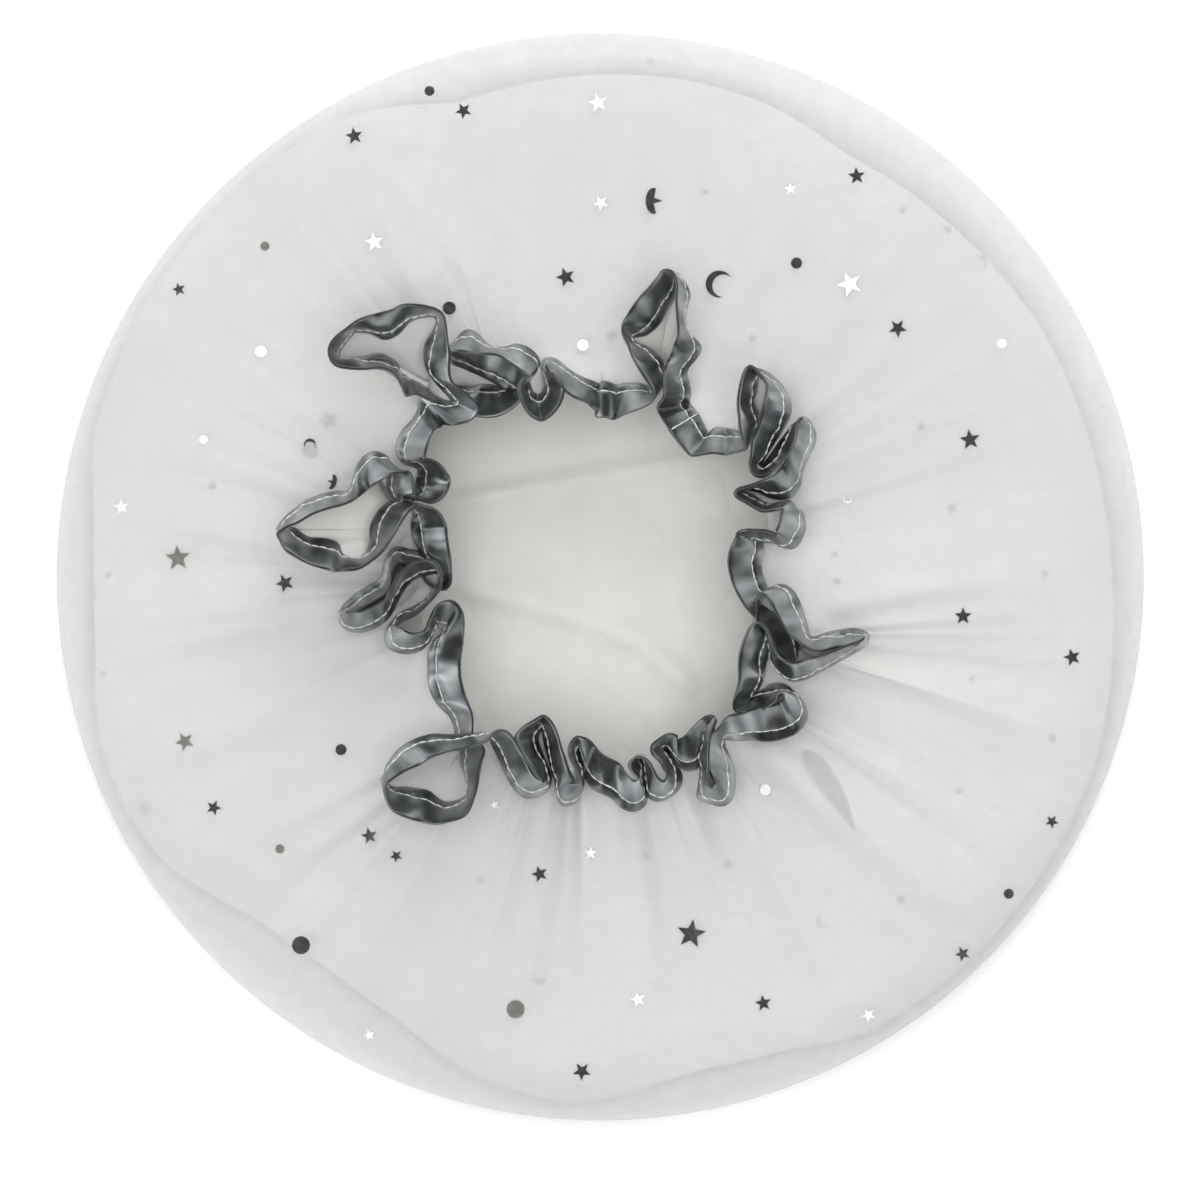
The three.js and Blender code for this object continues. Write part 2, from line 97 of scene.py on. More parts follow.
TAPE_CHART = """
inner east arch: 756 692 732 710 -1; 762 682 734 688 1; 767 662 738 658 2; 770 648 743 641 3;
    769 637 750 628 3; 765 626 760 621 3; 769 630 770 627 3; 771 644 775 642 3; 773 660 780 655 2;
    779 671 786 660 1; 791 680 794 664 1; 805 679 802 662 1
east loop: 819 672 814 657 2; 835 663 830 651 3; 852 654 848 645 3; 866 645 861 640 3; 869 636 864 637 3;
    858 629 856 642 3; 840 630 838 648 3; 824 634 820 651 3; 812 637 803 647 3
outer east arch: 808 628 789 637 3; 805 618 781 623 3; 801 604 773 610 4; 794 591 768 602 4;
    784 584 764 598 4; 771 588 760 597 4; 758 596 756 598 3; 753 605 756 605 1; 753 618 756 618 -2;
    757 634 760 632 -7; 770 652 773 650 -8; 786 666 787 662 -6; 798 664 787 660 -3
east run: 799 652 777 654 -1; 798 640 771 645 0; 791 623 762 632 0; 783 607 755 619 0; 774 595 745 607 0;
    766 584 736 590 0; 762 572 730 576 0; 762 560 728 560 1; 764 549 731 546 1; 764 541 735 537 1
east hairpin, lower: 757 541 736 532 1; 756 541 744 529 2; 762 541 756 529 2; 772 543 768 529 2;
    782 546 777 534 2; 792 549 779 534 2; 801 542 779 531 2; 805 530 779 525 2; 805 519 779 517 2;
    800 509 779 512 2; 792 506 783 511 2; 778 505 775 512 1; 765 503 762 513 1; 755 496 753 510 1;
    744 492 743 504 1; 736 492 734 497 1
east hairpin, upper: 737 492 735 489 2; 748 490 744 484 2; 758 492 757 481 2; 768 497 766 477 2;
    780 500 775 472 2; 792 498 781 467 2; 800 487 786 460 2; 803 471 790 450 2; 809 456 795 440 3;
    816 440 799 431 3; 814 428 802 423 3; 806 418 803 419 4
north-east leaf: 797 421 802 424 4; 789 430 799 436 3; 780 441 793 450 2; 772 452 785 461 2;
    765 462 775 471 1; 762 465 764 476 1; 762 464 754 473 1; 765 457 750 463 2; 772 446 752 449 2;
    782 432 757 434 2; 790 417 762 417 3; 791 402 766 401 3; 785 389 766 388 3; 775 378 764 379 4;
    763 370 759 373 4; 752 369 751 366 4; 757 380 744 371 4; 758 389 740 384 3; 753 400 737 400 3;
    757 412 737 416 3; 759 423 738 431 3; 754 434 743 446 2
corner: 745 434 747 450 1; 735 430 737 453 1; 726 428 727 455 0; 717 427 714 453 0; 712 430 700 457 0;
    709 433 690 458 0; 704 424 681 446 0; 697 412 668 427 -1; 690 402 656 408 -2
north loop, right: 691 393 664 396 1; 689 380 663 381 3; 687 370 667 367 3; 700 354 671 357 3;
    701 345 675 347 3; 689 333 677 337 4; 685 320 676 322 4; 687 305 677 307 4; 690 295 677 292 4;
    684 281 676 280 4; 676 272 673 271 4
north loop, left: 672 276 664 270 4; 675 287 660 275 4; 674 297 653 281 4; 668 309 641 294 4;
    659 325 630 311 4; 645 336 624 326 4; 632 338 623 335 4; 635 342 626 343 4; 647 347 631 355 4;
    659 356 640 368 3; 665 369 648 382 2; 664 382 654 393 1
north run: 655 387 653 402 0; 642 384 641 408 0; 627 383 625 413 0; 616 385 614 420 1; 609 381 608 424 3;
    603 381 601 421 3; 600 382 595 417 1; 606 384 601 414 -1; 603 386 594 408 -2; 593 381 587 401 0;
    581 377 577 395 1; 568 369 563 388 1; 556 359 553 381 2
small ring: 546 358 552 374 2; 541 364 559 379 2; 543 375 565 388 2; 544 386 560 404 2;
    542 392 552 416 2; 538 394 542 423 2; 534 392 530 417 2; 531 387 522 404 3; 530 380 518 390 3;
    535 371 522 378 4
flattened loop: 540 361 530 376 5; 532 350 523 371 5; 518 344 512 364 5; 502 348 496 357 5;
    490 346 484 354 5; 478 334 472 352 5; 467 329 460 351 5; 456 340 452 352 5; 449 350 451 351 3;
    450 362 456 349 1; 465 369 470 349 0; 482 376 488 351 0; 500 386 505 356 0; 512 394 522 369 -1
north-west run: 517 389 527 389 -2; 513 388 518 404 -3; 501 386 503 413 -3; 488 384 489 417 -3;
    474 383 473 416 -5; 460 382 456 412 -7; 446 384 440 408 -7; 434 384 430 401 -6
north-west loop: 422 380 420 394 -4; 412 376 413 394 -2; 406 372 406 397 0; 400 367 401 388 1;
    394 361 396 375 3; 381 354 382 371 4; 364 357 364 370 5; 350 359 348 369 5; 341 359 334 364 5;
    339 353 328 350 5; 344 345 333 337 5; 354 334 346 326 5; 369 333 361 318 5; 385 340 375 313 5;
    399 334 391 308 5; 411 321 405 305 5; 425 317 423 305 5; 436 320 441 313 5; 434 330 447 326 5;
    426 342 448 342 5; 424 357 449 360 5; 429 373 453 380 4; 439 386 461 391 3; 448 395 471 401 3;
    451 400 476 411 2; 446 400 467 422 1; 436 397 453 426 1; 426 394 447 427 1; 420 397 444 428 0
west strip: 418 407 441 429 0; 415 417 438 431 0; 407 425 434 436 0; 400 434 430 442 0; 396 446 426 451 0;
    398 456 423 462 0
west hairpin: 405 464 425 457 0; 416 467 436 461 0; 418 472 446 470 0; 416 479 451 480 0;
    416 488 446 494 -1; 416 496 434 504 -2
west loop: 414 500 418 503 -4; 408 503 402 497 -3; 393 499 414 494 -1; 387 487 415 486 1;
    388 473 411 471 2; 390 461 400 470 3; 380 452 383 478 4; 368 453 369 487 4; 357 464 363 493 4;
    353 480 358 497 5; 350 490 351 502 5; 332 492 334 508 5; 312 498 313 515 5; 295 509 299 520 5;
    282 521 287 525 5; 276 530 276 533 5; 287 527 280 540 5; 296 528 288 551 5; 308 537 301 560 5;
    324 538 318 566 5; 338 542 333 570 5; 344 556 343 571 5; 357 559 358 570 5; 367 551 373 559 5;
    370 540 381 549 5; 370 527 391 536 5; 376 514 401 523 4; 387 503 411 511 3; 401 501 417 506 2
west run: 411 508 421 505 1; 411 517 437 510 0; 411 529 447 525 0; 413 543 451 543 -1;
    420 556 452 562 -2; 431 571 451 580 -3; 440 583 445 590 -5
upper twin loop: 437 587 429 584 -6; 432 574 422 573 -5; 428 560 418 567 -3; 420 551 408 568 -1;
    408 549 402 565 1; 396 546 400 565 2; 386 557 394 573 2; 381 577 390 588 3; 367 587 377 602 3;
    352 597 360 611 3; 342 607 348 613 4; 339 619 348 613 4; 347 630 353 612 4; 363 632 362 610 4;
    379 626 374 605 4; 391 615 386 599 4; 398 601 390 590 4; 404 590 397 578 4; 413 580 407 569 4;
    425 575 420 563 4
lower twin loop: 437 573 435 562 4; 438 580 443 575 3; 432 591 440 589 3; 425 600 430 604 3;
    413 607 415 615 3; 401 613 402 621 3; 392 621 396 626 3; 385 634 400 628 3; 387 646 404 632 3;
    401 653 409 634 3; 418 652 418 633 3; 429 642 425 629 3; 433 631 428 621 1; 436 622 433 612 0
turn after the twins: 438 627 441 604 0; 445 631 452 601 1; 441 635 461 610 1; 433 640 464 624 1
south-west run: 428 652 462 643 0; 428 667 460 661 0; 428 682 461 678 0; 432 696 465 693 0;
    441 708 470 708 0; 450 716 473 720 -1; 455 727 474 732 -2; 456 739 477 740 -3
crossed loop: 460 751 486 749 -2; 461 764 482 765 0; 466 777 478 779 1; 468 789 475 793 1;
    465 797 470 807 1; 453 801 461 818 1; 441 800 441 824 1; 428 790 421 822 1; 413 788 405 817 1;
    401 786 393 812 1; 394 784 386 802 2; 388 782 386 788 3; 385 772 396 779 4; 388 763 406 771 5;
    399 749 418 764 6; 415 739 431 758 7; 432 734 445 753 7; 450 735 460 748 7; 469 734 474 743 6;
    484 732 487 739 4
first wave: 489 737 493 733 2; 491 742 507 732 2; 497 755 517 747 1; 504 770 525 760 1; 512 785 532 773 1;
    523 797 541 781 1; 536 797 545 782 1; 548 790 547 781 1; 552 780 540 778 1; 548 767 530 766 1;
    542 752 521 751 1; 538 739 515 738 1; 541 729 523 727 2; 545 722 535 718 2; 544 718 542 713 2
second wave: 542 727 551 718 2; 544 741 560 733 2; 548 757 566 749 1; 553 774 570 766 1; 557 791 573 779 1;
    562 806 570 783 1; 573 804 576 783 1; 582 791 579 779 1; 584 777 574 768 1; 580 762 569 754 1;
    578 750 569 744 2; 580 742 575 736 2
south run: 580 756 583 736 1; 583 774 592 741 0; 590 787 602 748 0; 602 794 612 755 0; 613 799 621 763 0;
    621 808 627 774 0; 634 812 634 780 0; 645 806 639 778 1; 647 792 633 772 1; 647 777 630 766 2;
    645 765 633 759 2; 641 759 638 756 2
south loop: 640 766 646 759 2; 642 779 654 771 1; 645 793 659 779 1; 655 801 664 781 1; 668 798 667 777 1;
    680 787 667 770 1; 682 774 661 763 1; 672 762 654 757 2; 662 753 650 751 2
south fold: 657 749 650 745 2; 661 750 659 739 2; 667 752 669 734 2; 673 760 677 737 1
south-east run: 684 771 679 740 0; 697 770 685 737 0; 706 758 694 727 0; 713 745 704 718 0;
    716 733 712 716 1
south-east drop: 711 727 716 719 2; 703 738 709 734 2; 701 751 709 750 2; 701 767 709 767 2;
    699 784 709 782 2; 697 798 712 788 2; 710 803 714 787 2; 724 806 717 784 2; 733 797 714 777 2;
    735 782 710 770 2; 734 768 708 757 2; 729 755 709 744 3; 725 746 712 734 3
south-east fold: 724 739 718 727 3; 733 740 726 718 3; 748 740 741 713 3; 765 742 757 708 3;
    781 740 772 704 3; 795 735 782 701 3; 805 724 784 700 3; 808 712 783 697 3; 802 701 782 693 3;
    794 691 778 693 3; 784 684 774 698 1; 770 684 762 710 -1; 757 688 746 714 -2
"""

Place = namedtuple("Place", "seam_x seam_y free_x free_y rise")
SECTIONS = {}
for line in TAPE_CHART.replace("\n    ", " ").strip().splitlines():
    name, rows = line.split(":")
    SECTIONS[name] = [Place(*map(float, row.split())) for row in rows.split(";") if row.strip()]
print(len(SECTIONS), "sections,", sum(map(len, SECTIONS.values())), "places")

# %% [markdown]
# A closed centripetal Catmull-Rom curve passes through every place without overshooting at the
# hairpins, which a uniform one does. It runs in five channels at once: the middle of the tape,
# the lean as the edge's overhang, and the rise. Even steps in all five give a fold as many
# stations as a straight, although its middle hardly moves.

# %% Curve, even steps and blur
SPAN_SAMPLES = 24
TAPE_STEP = 0.6
TIP_ROUNDING = 0.8
MOST_OVERHANG = 9.7
FREE_EDGE_UP = 0.7


def on_chart(across, down, height=RIM_HEIGHT):
    """Chart squares to millimetres from the middle of the cap, for a point at a height."""
    seen = (across - CHART_MIDDLE[0]) * CHART_SQUARE, (CHART_MIDDLE[1] - down) * CHART_SQUARE
    nearer = (height - RIM_HEIGHT) / CAMERA_HEIGHT
    return tuple(v - (v - centre) * nearer for v, centre in zip(seen, PICTURE_MIDDLE))


def tape_places():
    """Rows of middle x, middle y, overhang x, overhang y and rise."""
    rows = []
    for place in (place for section in SECTIONS.values() for place in section):
        seam_top = SEAM_HEIGHT + place.rise
        seam = np.array(on_chart(place.seam_x, place.seam_y, seam_top))
        over = np.array(on_chart(place.free_x, place.free_y, seam_top + TAPE_WIDTH * FREE_EDGE_UP)) - seam
        over *= min(1, MOST_OVERHANG / np.linalg.norm(over))
        rows.append([*(seam + over / 2), *over, place.rise])
    return np.array(rows)


def hermite(start, leave, end, arrive, t):
    """Curves from start to end, a row to each start and a column to each t."""
    start, leave, end, arrive = (v[:, None, :] for v in (start, leave, end, arrive))
    t = t[None, :, None]
    return (start * (2 * t**3 - 3 * t**2 + 1) + leave * (t**3 - 2 * t**2 + t)
            + end * (3 * t**2 - 2 * t**3) + arrive * (t**3 - t**2))


def closed_curve(points):
    """A closed centripetal curve through the points, SPAN_SAMPLES samples to a span."""
    before, here, after, beyond = (np.roll(points, shift, axis=0) for shift in (1, 0, -1, -2))
    gaps = [np.sqrt(np.linalg.norm(b - a, axis=1, keepdims=True))
            for a, b in ((before, here), (here, after), (after, beyond))]
    first, span, last = (np.maximum(gap, 1e-4) for gap in gaps)
    leave = ((here - before) / first - (after - before) / (first + span) + (after - here) / span) * span
    arrive = ((after - here) / span - (beyond - here) / (span + last) + (beyond - after) / last) * span
    curve = hermite(here, leave, after, arrive, np.arange(SPAN_SAMPLES) / SPAN_SAMPLES)
    return curve.reshape(-1, points.shape[1])


def travelled(points):
    """The way round a closed line at each point, and the whole way."""
    way = np.cumsum(np.linalg.norm(np.roll(points, -1, axis=0) - points, axis=1))
    return np.append(0, way[:-1]), way[-1]


def at_even_steps(curve, step):
    """Resamples a closed curve."""
    way, whole = travelled(curve)
    wanted = np.arange(round(whole / step)) * step
    return np.stack([np.interp(wanted, way, v, period=whole) for v in curve.T], axis=1)


def blurred(values, reach, step):
    """Blurs values that run once round a loop. reach is the blur's spread."""
    waves = np.fft.rfftfreq(len(values), d=step)
    damping = np.exp(-2 * (math.pi * waves * reach) ** 2)
    return np.fft.irfft(np.fft.rfft(values) * damping, len(values))


route = at_even_steps(closed_curve(tape_places()), TAPE_STEP)
route = np.stack([blurred(channel, TIP_ROUNDING, TAPE_STEP) for channel in route.T], axis=1)
overhang = route[:, 2:4] * np.minimum(1, MOST_OVERHANG / np.linalg.norm(route[:, 2:4], axis=1))[:, None]
upright = np.sqrt(TAPE_WIDTH**2 - (overhang**2).sum(1))
width = np.column_stack([overhang, upright]) / TAPE_WIDTH
middle = np.column_stack([route[:, :2], SEAM_HEIGHT + route[:, 4] + upright / 2])
stations = len(middle)
tape_way, tape_length = travelled(middle)
print("tape", round(tape_length), "mm long,", stations, "stations")

# %% [markdown]
# The facing is square to both the way the tape runs and its width. In a fold the way it runs is
# hard to tell, so the directions are taken over a few millimetres.

# %% Directions
FACING_REACH = 2
FACING_BLUR = 0.9


def unit(vectors):
    return vectors / np.linalg.norm(vectors, axis=-1, keepdims=True)


ahead = np.roll(middle, -FACING_REACH, axis=0) - np.roll(middle, FACING_REACH, axis=0)
facing = np.cross(ahead, width)
facing = unit(np.stack([blurred(v, FACING_BLUR, TAPE_STEP) for v in facing.T], axis=1))
ahead = unit(np.cross(width, facing))
seam_edge = middle - width * TAPE_WIDTH / 2
print("tape stands from", round(seam_edge[:, 2].min(), 1), "to",
      round((middle + width * TAPE_WIDTH / 2)[:, 2].max(), 1), "mm")

# %% [markdown]
# ## The satin tape as a solid strip
#
# A binding is a strip with its raw edges turned in and folded over the cloth. Across its width
# it has a flat part by the seam edge, a line of stitches that pulls it in, and a soft tube that
# carries the elastic. That section is swept along the route. A plain sweep looks like plastic,
# so the strip also flutters: small crosswise puckers start at the stitches, longer waves grow
# towards the free edge, and its middle bows to one face or the other.

# %% The tape's section and its flutter
STITCH_LINE = -2.1
Section = namedtuple("Section", "across half_thickness")
TAPE_SECTION = [
    Section(-5.00, .12), Section(-4.88, .34), Section(-4.40, .44), Section(-3.50, .42),
    Section(-2.45, .34), Section(STITCH_LINE, .22), Section(-1.75, .34), Section(-1.10, .46),
    Section(.20, .52), Section(1.80, .52), Section(3.20, .48), Section(4.30, .46),
    Section(4.85, .36), Section(5.00, .12),
]
PUCKER = 0.20
PUCKER_SPREAD = 2.2
TUG_SHARE = 0.8
SWAY = 0.42
ROLL = 0.45
TUBE_MIDDLE = 0.8
TUBE_SPREAD = 2.5
TUBE_PUFF = 0.22
JOIN_AT = (687, 423)
SEAM_SPREAD = 0.9
SEAM_THICKER = 0.9


def ripple(rng, reach, count, step):
    """A closed line of soft random hills, with a spread of 1. reach is a hill's half width."""
    hills = blurred(rng.standard_normal(count), reach, step)
    return hills / hills.std()


tape_rng = np.random.default_rng(11)
puckers, tugs, waves, puffs, rolls = (ripple(tape_rng, reach, stations, TAPE_STEP)
                                      for reach in (0.9, 1.6, 2.6, 1.2, 4.0))
seam_station = int(np.linalg.norm(middle[:, :2] - on_chart(*JOIN_AT), axis=1).argmin())
from_seam = np.abs(tape_way - tape_way[seam_station])
seam_ridge = 1 + SEAM_THICKER * np.exp(-((from_seam / SEAM_SPREAD) ** 2))


def flutter(across):
    """How far the tape's middle is pushed along its facing, at a place across it."""
    near = math.exp(-(((across - STITCH_LINE) / PUCKER_SPREAD) ** 2))
    free = (across + TAPE_WIDTH / 2) / TAPE_WIDTH
    hollow = 1 - (2 * across / TAPE_WIDTH) ** 2
    return PUCKER * near * (puckers + TUG_SHARE * tugs) + SWAY * free * waves + ROLL * hollow * rolls


def tape_points():
    """Every point of the strip, a ring of the section to each station."""
    rows = []
    for side, sections in ((1, TAPE_SECTION), (-1, TAPE_SECTION[::-1])):
        for section in sections:
            in_tube = math.exp(-(((section.across - TUBE_MIDDLE) / TUBE_SPREAD) ** 2))
            plump = 1 + TUBE_PUFF * puffs * in_tube
            lift = flutter(section.across) + side * section.half_thickness * plump * seam_ridge
            rows.append(middle + width * section.across + facing * lift[:, None])
    return np.stack(rows, axis=1)


def grid_faces(columns, rows, closed_rows=True):
    """Quads of a grid of points that closes round its columns, and round its rows too if asked."""
    c, r = np.meshgrid(np.arange(columns), np.arange(rows if closed_rows else rows - 1), indexing="ij")
    c2, r2 = (c + 1) % columns, (r + 1) % rows
    quads = np.stack([c * rows + r, c2 * rows + r, c2 * rows + r2, c * rows + r2], axis=-1)
    return quads.reshape(-1, 4)


def new_piece(name, points, faces, material):
    """A smooth-shaded mesh object in metres that rides on the cap. points are in millimetres."""
    mesh = bpy.data.meshes.new(name)
    mesh.from_pydata((np.asarray(points) * MM).tolist(), [], [list(map(int, face)) for face in faces])
    mesh.validate()
    mesh.shade_smooth()
    mesh.materials.append(material)
    piece = bpy.data.objects.new(name, mesh)
    bpy.context.scene.collection.objects.link(piece)
    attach(piece, "root")
    print(name, "has", len(mesh.polygons), "faces")
    return piece


# %% [markdown]
# ## Finishes that are shared
#
# Two effects turn up in more than one finish, so each is a node group: woven threads, and the
# faint crumple of thin sheet, which also stands for wear and for a matt floor's unevenness.
# They only make masks and heights. The shaders stay in the finishes themselves.


# %% Small helpers for nodes
def group_with(name, inputs, outputs):
    """An empty node group. inputs and outputs map a socket's name to its type or its value."""
    group = bpy.data.node_groups.new(name, "ShaderNodeTree")
    for label, value in inputs.items():
        kind = "NodeSocketVector" if value is None else "NodeSocketFloat"
        socket = group.interface.new_socket(name=label, in_out="INPUT", socket_type=kind)
        if value is not None:
            socket.default_value = value
    for label in outputs:
        group.interface.new_socket(name=label, in_out="OUTPUT", socket_type="NodeSocketFloat")
    return group, group.nodes.new("NodeGroupInput"), group.nodes.new("NodeGroupOutput")


def wired(tree, made, wires):
    """The node with its inputs set. wires maps an input's name or number to an output or a value."""
    for socket, source in dict(wires).items():
        if isinstance(source, bpy.types.NodeSocket):
            tree.links.new(source, made.inputs[socket])
        else:
            made.inputs[socket].default_value = source
    return made


def node(tree, kind, wires=(), **settings):
    """A node with its settings and its inputs."""
    made = tree.nodes.new("ShaderNode" + kind)
    for key, value in settings.items():
        setattr(made, key, value)
    return wired(tree, made, wires)


def maths(tree, operation, a, b=0.0, c=0.0, clamp=False):
    return node(tree, "Math", {0: a, 1: b, 2: c}, operation=operation, use_clamp=clamp).outputs[0]


def spread(tree, value, low, high):
    """Maps 0..1 to low..high."""
    return node(tree, "MapRange", {0: value, 3: low, 4: high}).outputs[0]


# %% Woven threads and crumpled sheet
FINER = 3.7
FOLD_HEIGHT = 1.2
CREASE_SHARP = 7.0


def make_weave():
    """Plain weave over a flat-cut coordinate in metres. Threads is the count in a metre."""
    group, given, out = group_with("woven_threads", {"Cut": None, "Threads": 2500.0}, ["Height", "Cover"])
    scaled = node(group, "VectorMath", {0: given.outputs["Cut"], 3: given.outputs["Threads"]},
                  operation="SCALE").outputs[0]
    parts = node(group, "SeparateXYZ", {0: scaled})
    turns = [maths(group, "MULTIPLY", parts.outputs[axis], math.pi) for axis in (0, 1)]
    warp, weft = (maths(group, "ABSOLUTE", maths(group, "SINE", turn)) for turn in turns)
    over = maths(group, "MULTIPLY", *(maths(group, "SINE", turn) for turn in turns))
    group.links.new(maths(group, "MULTIPLY_ADD", over, 0.5, 0.5), out.inputs["Height"])
    group.links.new(maths(group, "MAXIMUM", warp, weft), out.inputs["Cover"])
    return group


def make_crumple():
    """Soft creases of thin sheet. Size is the width of the larger hills in metres."""
    group, given, out = group_with("crumpled_sheet", {"Place": None, "Size": 0.03}, ["Height", "Crease"])
    per_metre = maths(group, "DIVIDE", 1.0, given.outputs["Size"])
    broad = node(group, "TexNoise", {"Vector": given.outputs["Place"], "Scale": per_metre,
                                     "Detail": 2.0, "Roughness": 0.45})
    fine = node(group, "TexNoise", {"Vector": given.outputs["Place"],
                                    "Scale": maths(group, "MULTIPLY", per_metre, FINER),
                                    "Detail": 2.0, "Roughness": 0.5})
    fold = maths(group, "ABSOLUTE", maths(group, "SUBTRACT", fine.outputs[0], 0.5))
    crease = maths(group, "SUBTRACT", 1.0, maths(group, "MULTIPLY", fold, CREASE_SHARP), clamp=True)
    height = maths(group, "MULTIPLY_ADD", fold, FOLD_HEIGHT, broad.outputs[0])
    group.links.new(height, out.inputs["Height"])
    group.links.new(crease, out.inputs["Crease"])
    return group


WEAVE = make_weave()
CRUMPLE = make_crumple()
print("node groups:", [group.name for group in bpy.data.node_groups])


def placed(tree, group, wires):
    """A shared group in a material, with its own values."""
    made = tree.nodes.new("ShaderNodeGroup")
    made.node_tree = group
    return wired(tree, made, wires)


def crumple(tree, size):
    """The crumple laid over a piece as it lies. size is the width of the larger hills in metres."""
    return placed(tree, CRUMPLE, {"Place": node(tree, "TexCoord").outputs["Object"], "Size": size})


def new_finish(name, colour, roughness, **shader_values):
    """A material, its node tree and its shader, with the constant values on the shader."""
    material = bpy.data.materials.new(name)
    material.use_nodes = True
    shader = material.node_tree.nodes["Principled BSDF"]
    shader.inputs["Base Color"].default_value = (*colour, 1)
    shader.inputs["Roughness"].default_value = roughness
    for label, value in shader_values.items():
        shader.inputs[label.replace("_", " ")].default_value = value
    return material, material.node_tree, shader


def tinted(tree, mask, dark, light):
    """A colour between dark and light."""
    ramp = node(tree, "ValToRGB", {0: mask})
    ramp.color_ramp.elements[0].color = (*dark, 1)
    ramp.color_ramp.elements[1].color = (*light, 1)
    return ramp.outputs[0]


def coloured(tree, shader, mask, dark, light):
    """Feeds a colour between dark and light to the shader."""
    tree.links.new(tinted(tree, mask, dark, light), shader.inputs["Base Color"])


def raised(tree, shader, height, distance, strength=1.0, under=None):
    """Feeds a height to the shader's normal. distance is in metres."""
    wires = {"Height": height, "Distance": distance, "Strength": strength}
    if under is not None:
        wires["Normal"] = under
    bump = node(tree, "Bump", wires).outputs[0]
    tree.links.new(bump, shader.inputs["Normal"])
    return bump


# %% [markdown]
# ## Grey satin
#
# Satin is dark seen square on and bright where it turns, because its long floats all lie one
# way and mirror what is beside them. That takes a mostly metallic shader over a mid grey with a
# moderate roughness. A flat grey with white highlights looks like vinyl. Where the elastic
# draws the tape up, soft bands run across it. They are bumped, and also painted into the colour
# as shade and sheen. The two folded edges get painted shade.

# %% Satin finish
# The band colours are painted shade and sheen, and the edge colour is painted shade.
SATIN_BAND_SHADE = (0.15, 0.16, 0.165)
SATIN_LIGHT = (0.46, 0.48, 0.49)
SATIN_EDGE_SHADE = (0.18, 0.188, 0.195)
SATIN_THREADS = 3200.0
BAND_STRETCH = (1.0, 0.4, 1.0)
BANDS_PER_METRE = 190.0
BAND_LOW = 0.3
BAND_HIGH = 0.7
EDGE_SHADE_START = 0.00465
EDGE_SHADE_FULL = 0.00495


def make_satin():
    material, tree, shader = new_finish("grey_satin", SATIN_LIGHT, 0.3, Metallic=0.95, Anisotropic=0.3)
    cut = node(tree, "UVMap", uv_map="cut").outputs[0]
    floats = placed(tree, WEAVE, {"Cut": cut, "Threads": SATIN_THREADS})
    stretched = node(tree, "VectorMath", {0: cut, 1: BAND_STRETCH}, operation="MULTIPLY").outputs[0]
    noise = node(tree, "TexNoise", {"Vector": stretched, "Scale": BANDS_PER_METRE, "Detail": 1.0})
    bands = noise.outputs[0]
    # Painted shade and sheen: the bands set the colour between a shaded grey and a lit grey, and the folded
    # edges are painted darker.
    across = maths(tree, "ABSOLUTE", node(tree, "SeparateXYZ", {0: cut}).outputs["Y"])
    edge = node(tree, "MapRange", {0: across, 1: EDGE_SHADE_START, 2: EDGE_SHADE_FULL}).outputs[0]
    mask = node(tree, "MapRange", {0: bands, 1: BAND_LOW, 2: BAND_HIGH}).outputs[0]
    face = tinted(tree, mask, SATIN_BAND_SHADE, SATIN_LIGHT)
    colour = node(tree, "Mix", data_type="RGBA")
    tree.links.new(edge, colour.inputs[0])
    tree.links.new(face, colour.inputs[6])
    colour.inputs[7].default_value = (*SATIN_EDGE_SHADE, 1)
    tree.links.new(colour.outputs[2], shader.inputs["Base Color"])
    tree.links.new(spread(tree, bands, 0.34, 0.24), shader.inputs["Roughness"])
    soft = raised(tree, shader, bands, 0.0006, 0.6)
    raised(tree, shader, floats.outputs["Height"], 0.00003, 0.35, under=soft)
    return material


tape_ring = tape_points()
ring_size = tape_ring.shape[1]
tape = new_piece("satin_binding", tape_ring.reshape(-1, 3), grid_faces(stations, ring_size),
                 make_satin())
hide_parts("binding")


def unwrap_strip(piece, columns, rows, across):
    """A cut coordinate in metres: along the strip and across it."""
    layer = piece.data.uv_layers.new(name="cut")
    c, r = np.meshgrid(np.arange(columns), np.arange(rows), indexing="ij")
    way = np.append(tape_way, tape_length)
    u = np.stack([way[c], way[c + 1], way[c + 1], way[c]], axis=-1)
    v = np.stack([across[r], across[r], across[(r + 1) % rows], across[(r + 1) % rows]], axis=-1)
    layer.data.foreach_set("uv", (np.stack([u, v], axis=-1) * MM).astype(np.float32).ravel())


section_across = np.array([s.across for s in TAPE_SECTION] + [s.across for s in TAPE_SECTION[::-1]])
unwrap_strip(tape, stations, ring_size, section_across)

# %% [markdown]
# ## The stitches
#
# A line of pale thread runs round both faces of the tape, a little in from its seam edge. Each
# stitch is a short bead of thread that rises from the cloth and dives back in, so the line
# catches light as real sewing does. A painted line would vanish at a low angle. One more row
# crosses the tape where its two ends are joined.

# %% Stitches on both faces
STITCH_PITCH = 2.3
STITCH_LENGTH = 2.3
THREAD_RADIUS = 0.21
THREAD_SIDES = 6
THREAD_RISE = np.array([-.10, .06, .12, .06, -.10])
THREAD_TAPER = np.array([.7, .95, 1, .95, .7])
STITCH_FACE = 0.24
JOIN_FACE = 0.85
THREAD_DARK = (0.22, 0.23, 0.24)
THREAD_LIGHT = (0.95, 0.96, 0.96)
JOIN_FROM = -4.3
JOIN_TO = 2.6


def on_tape(at, values):
    """The tape's values at places between its stations."""
    pick = np.floor(at).astype(int)
    share = (at - pick).reshape(at.shape + (1,) * (values.ndim - 1))
    return values[pick % stations] * (1 - share) + values[(pick + 1) % stations] * share


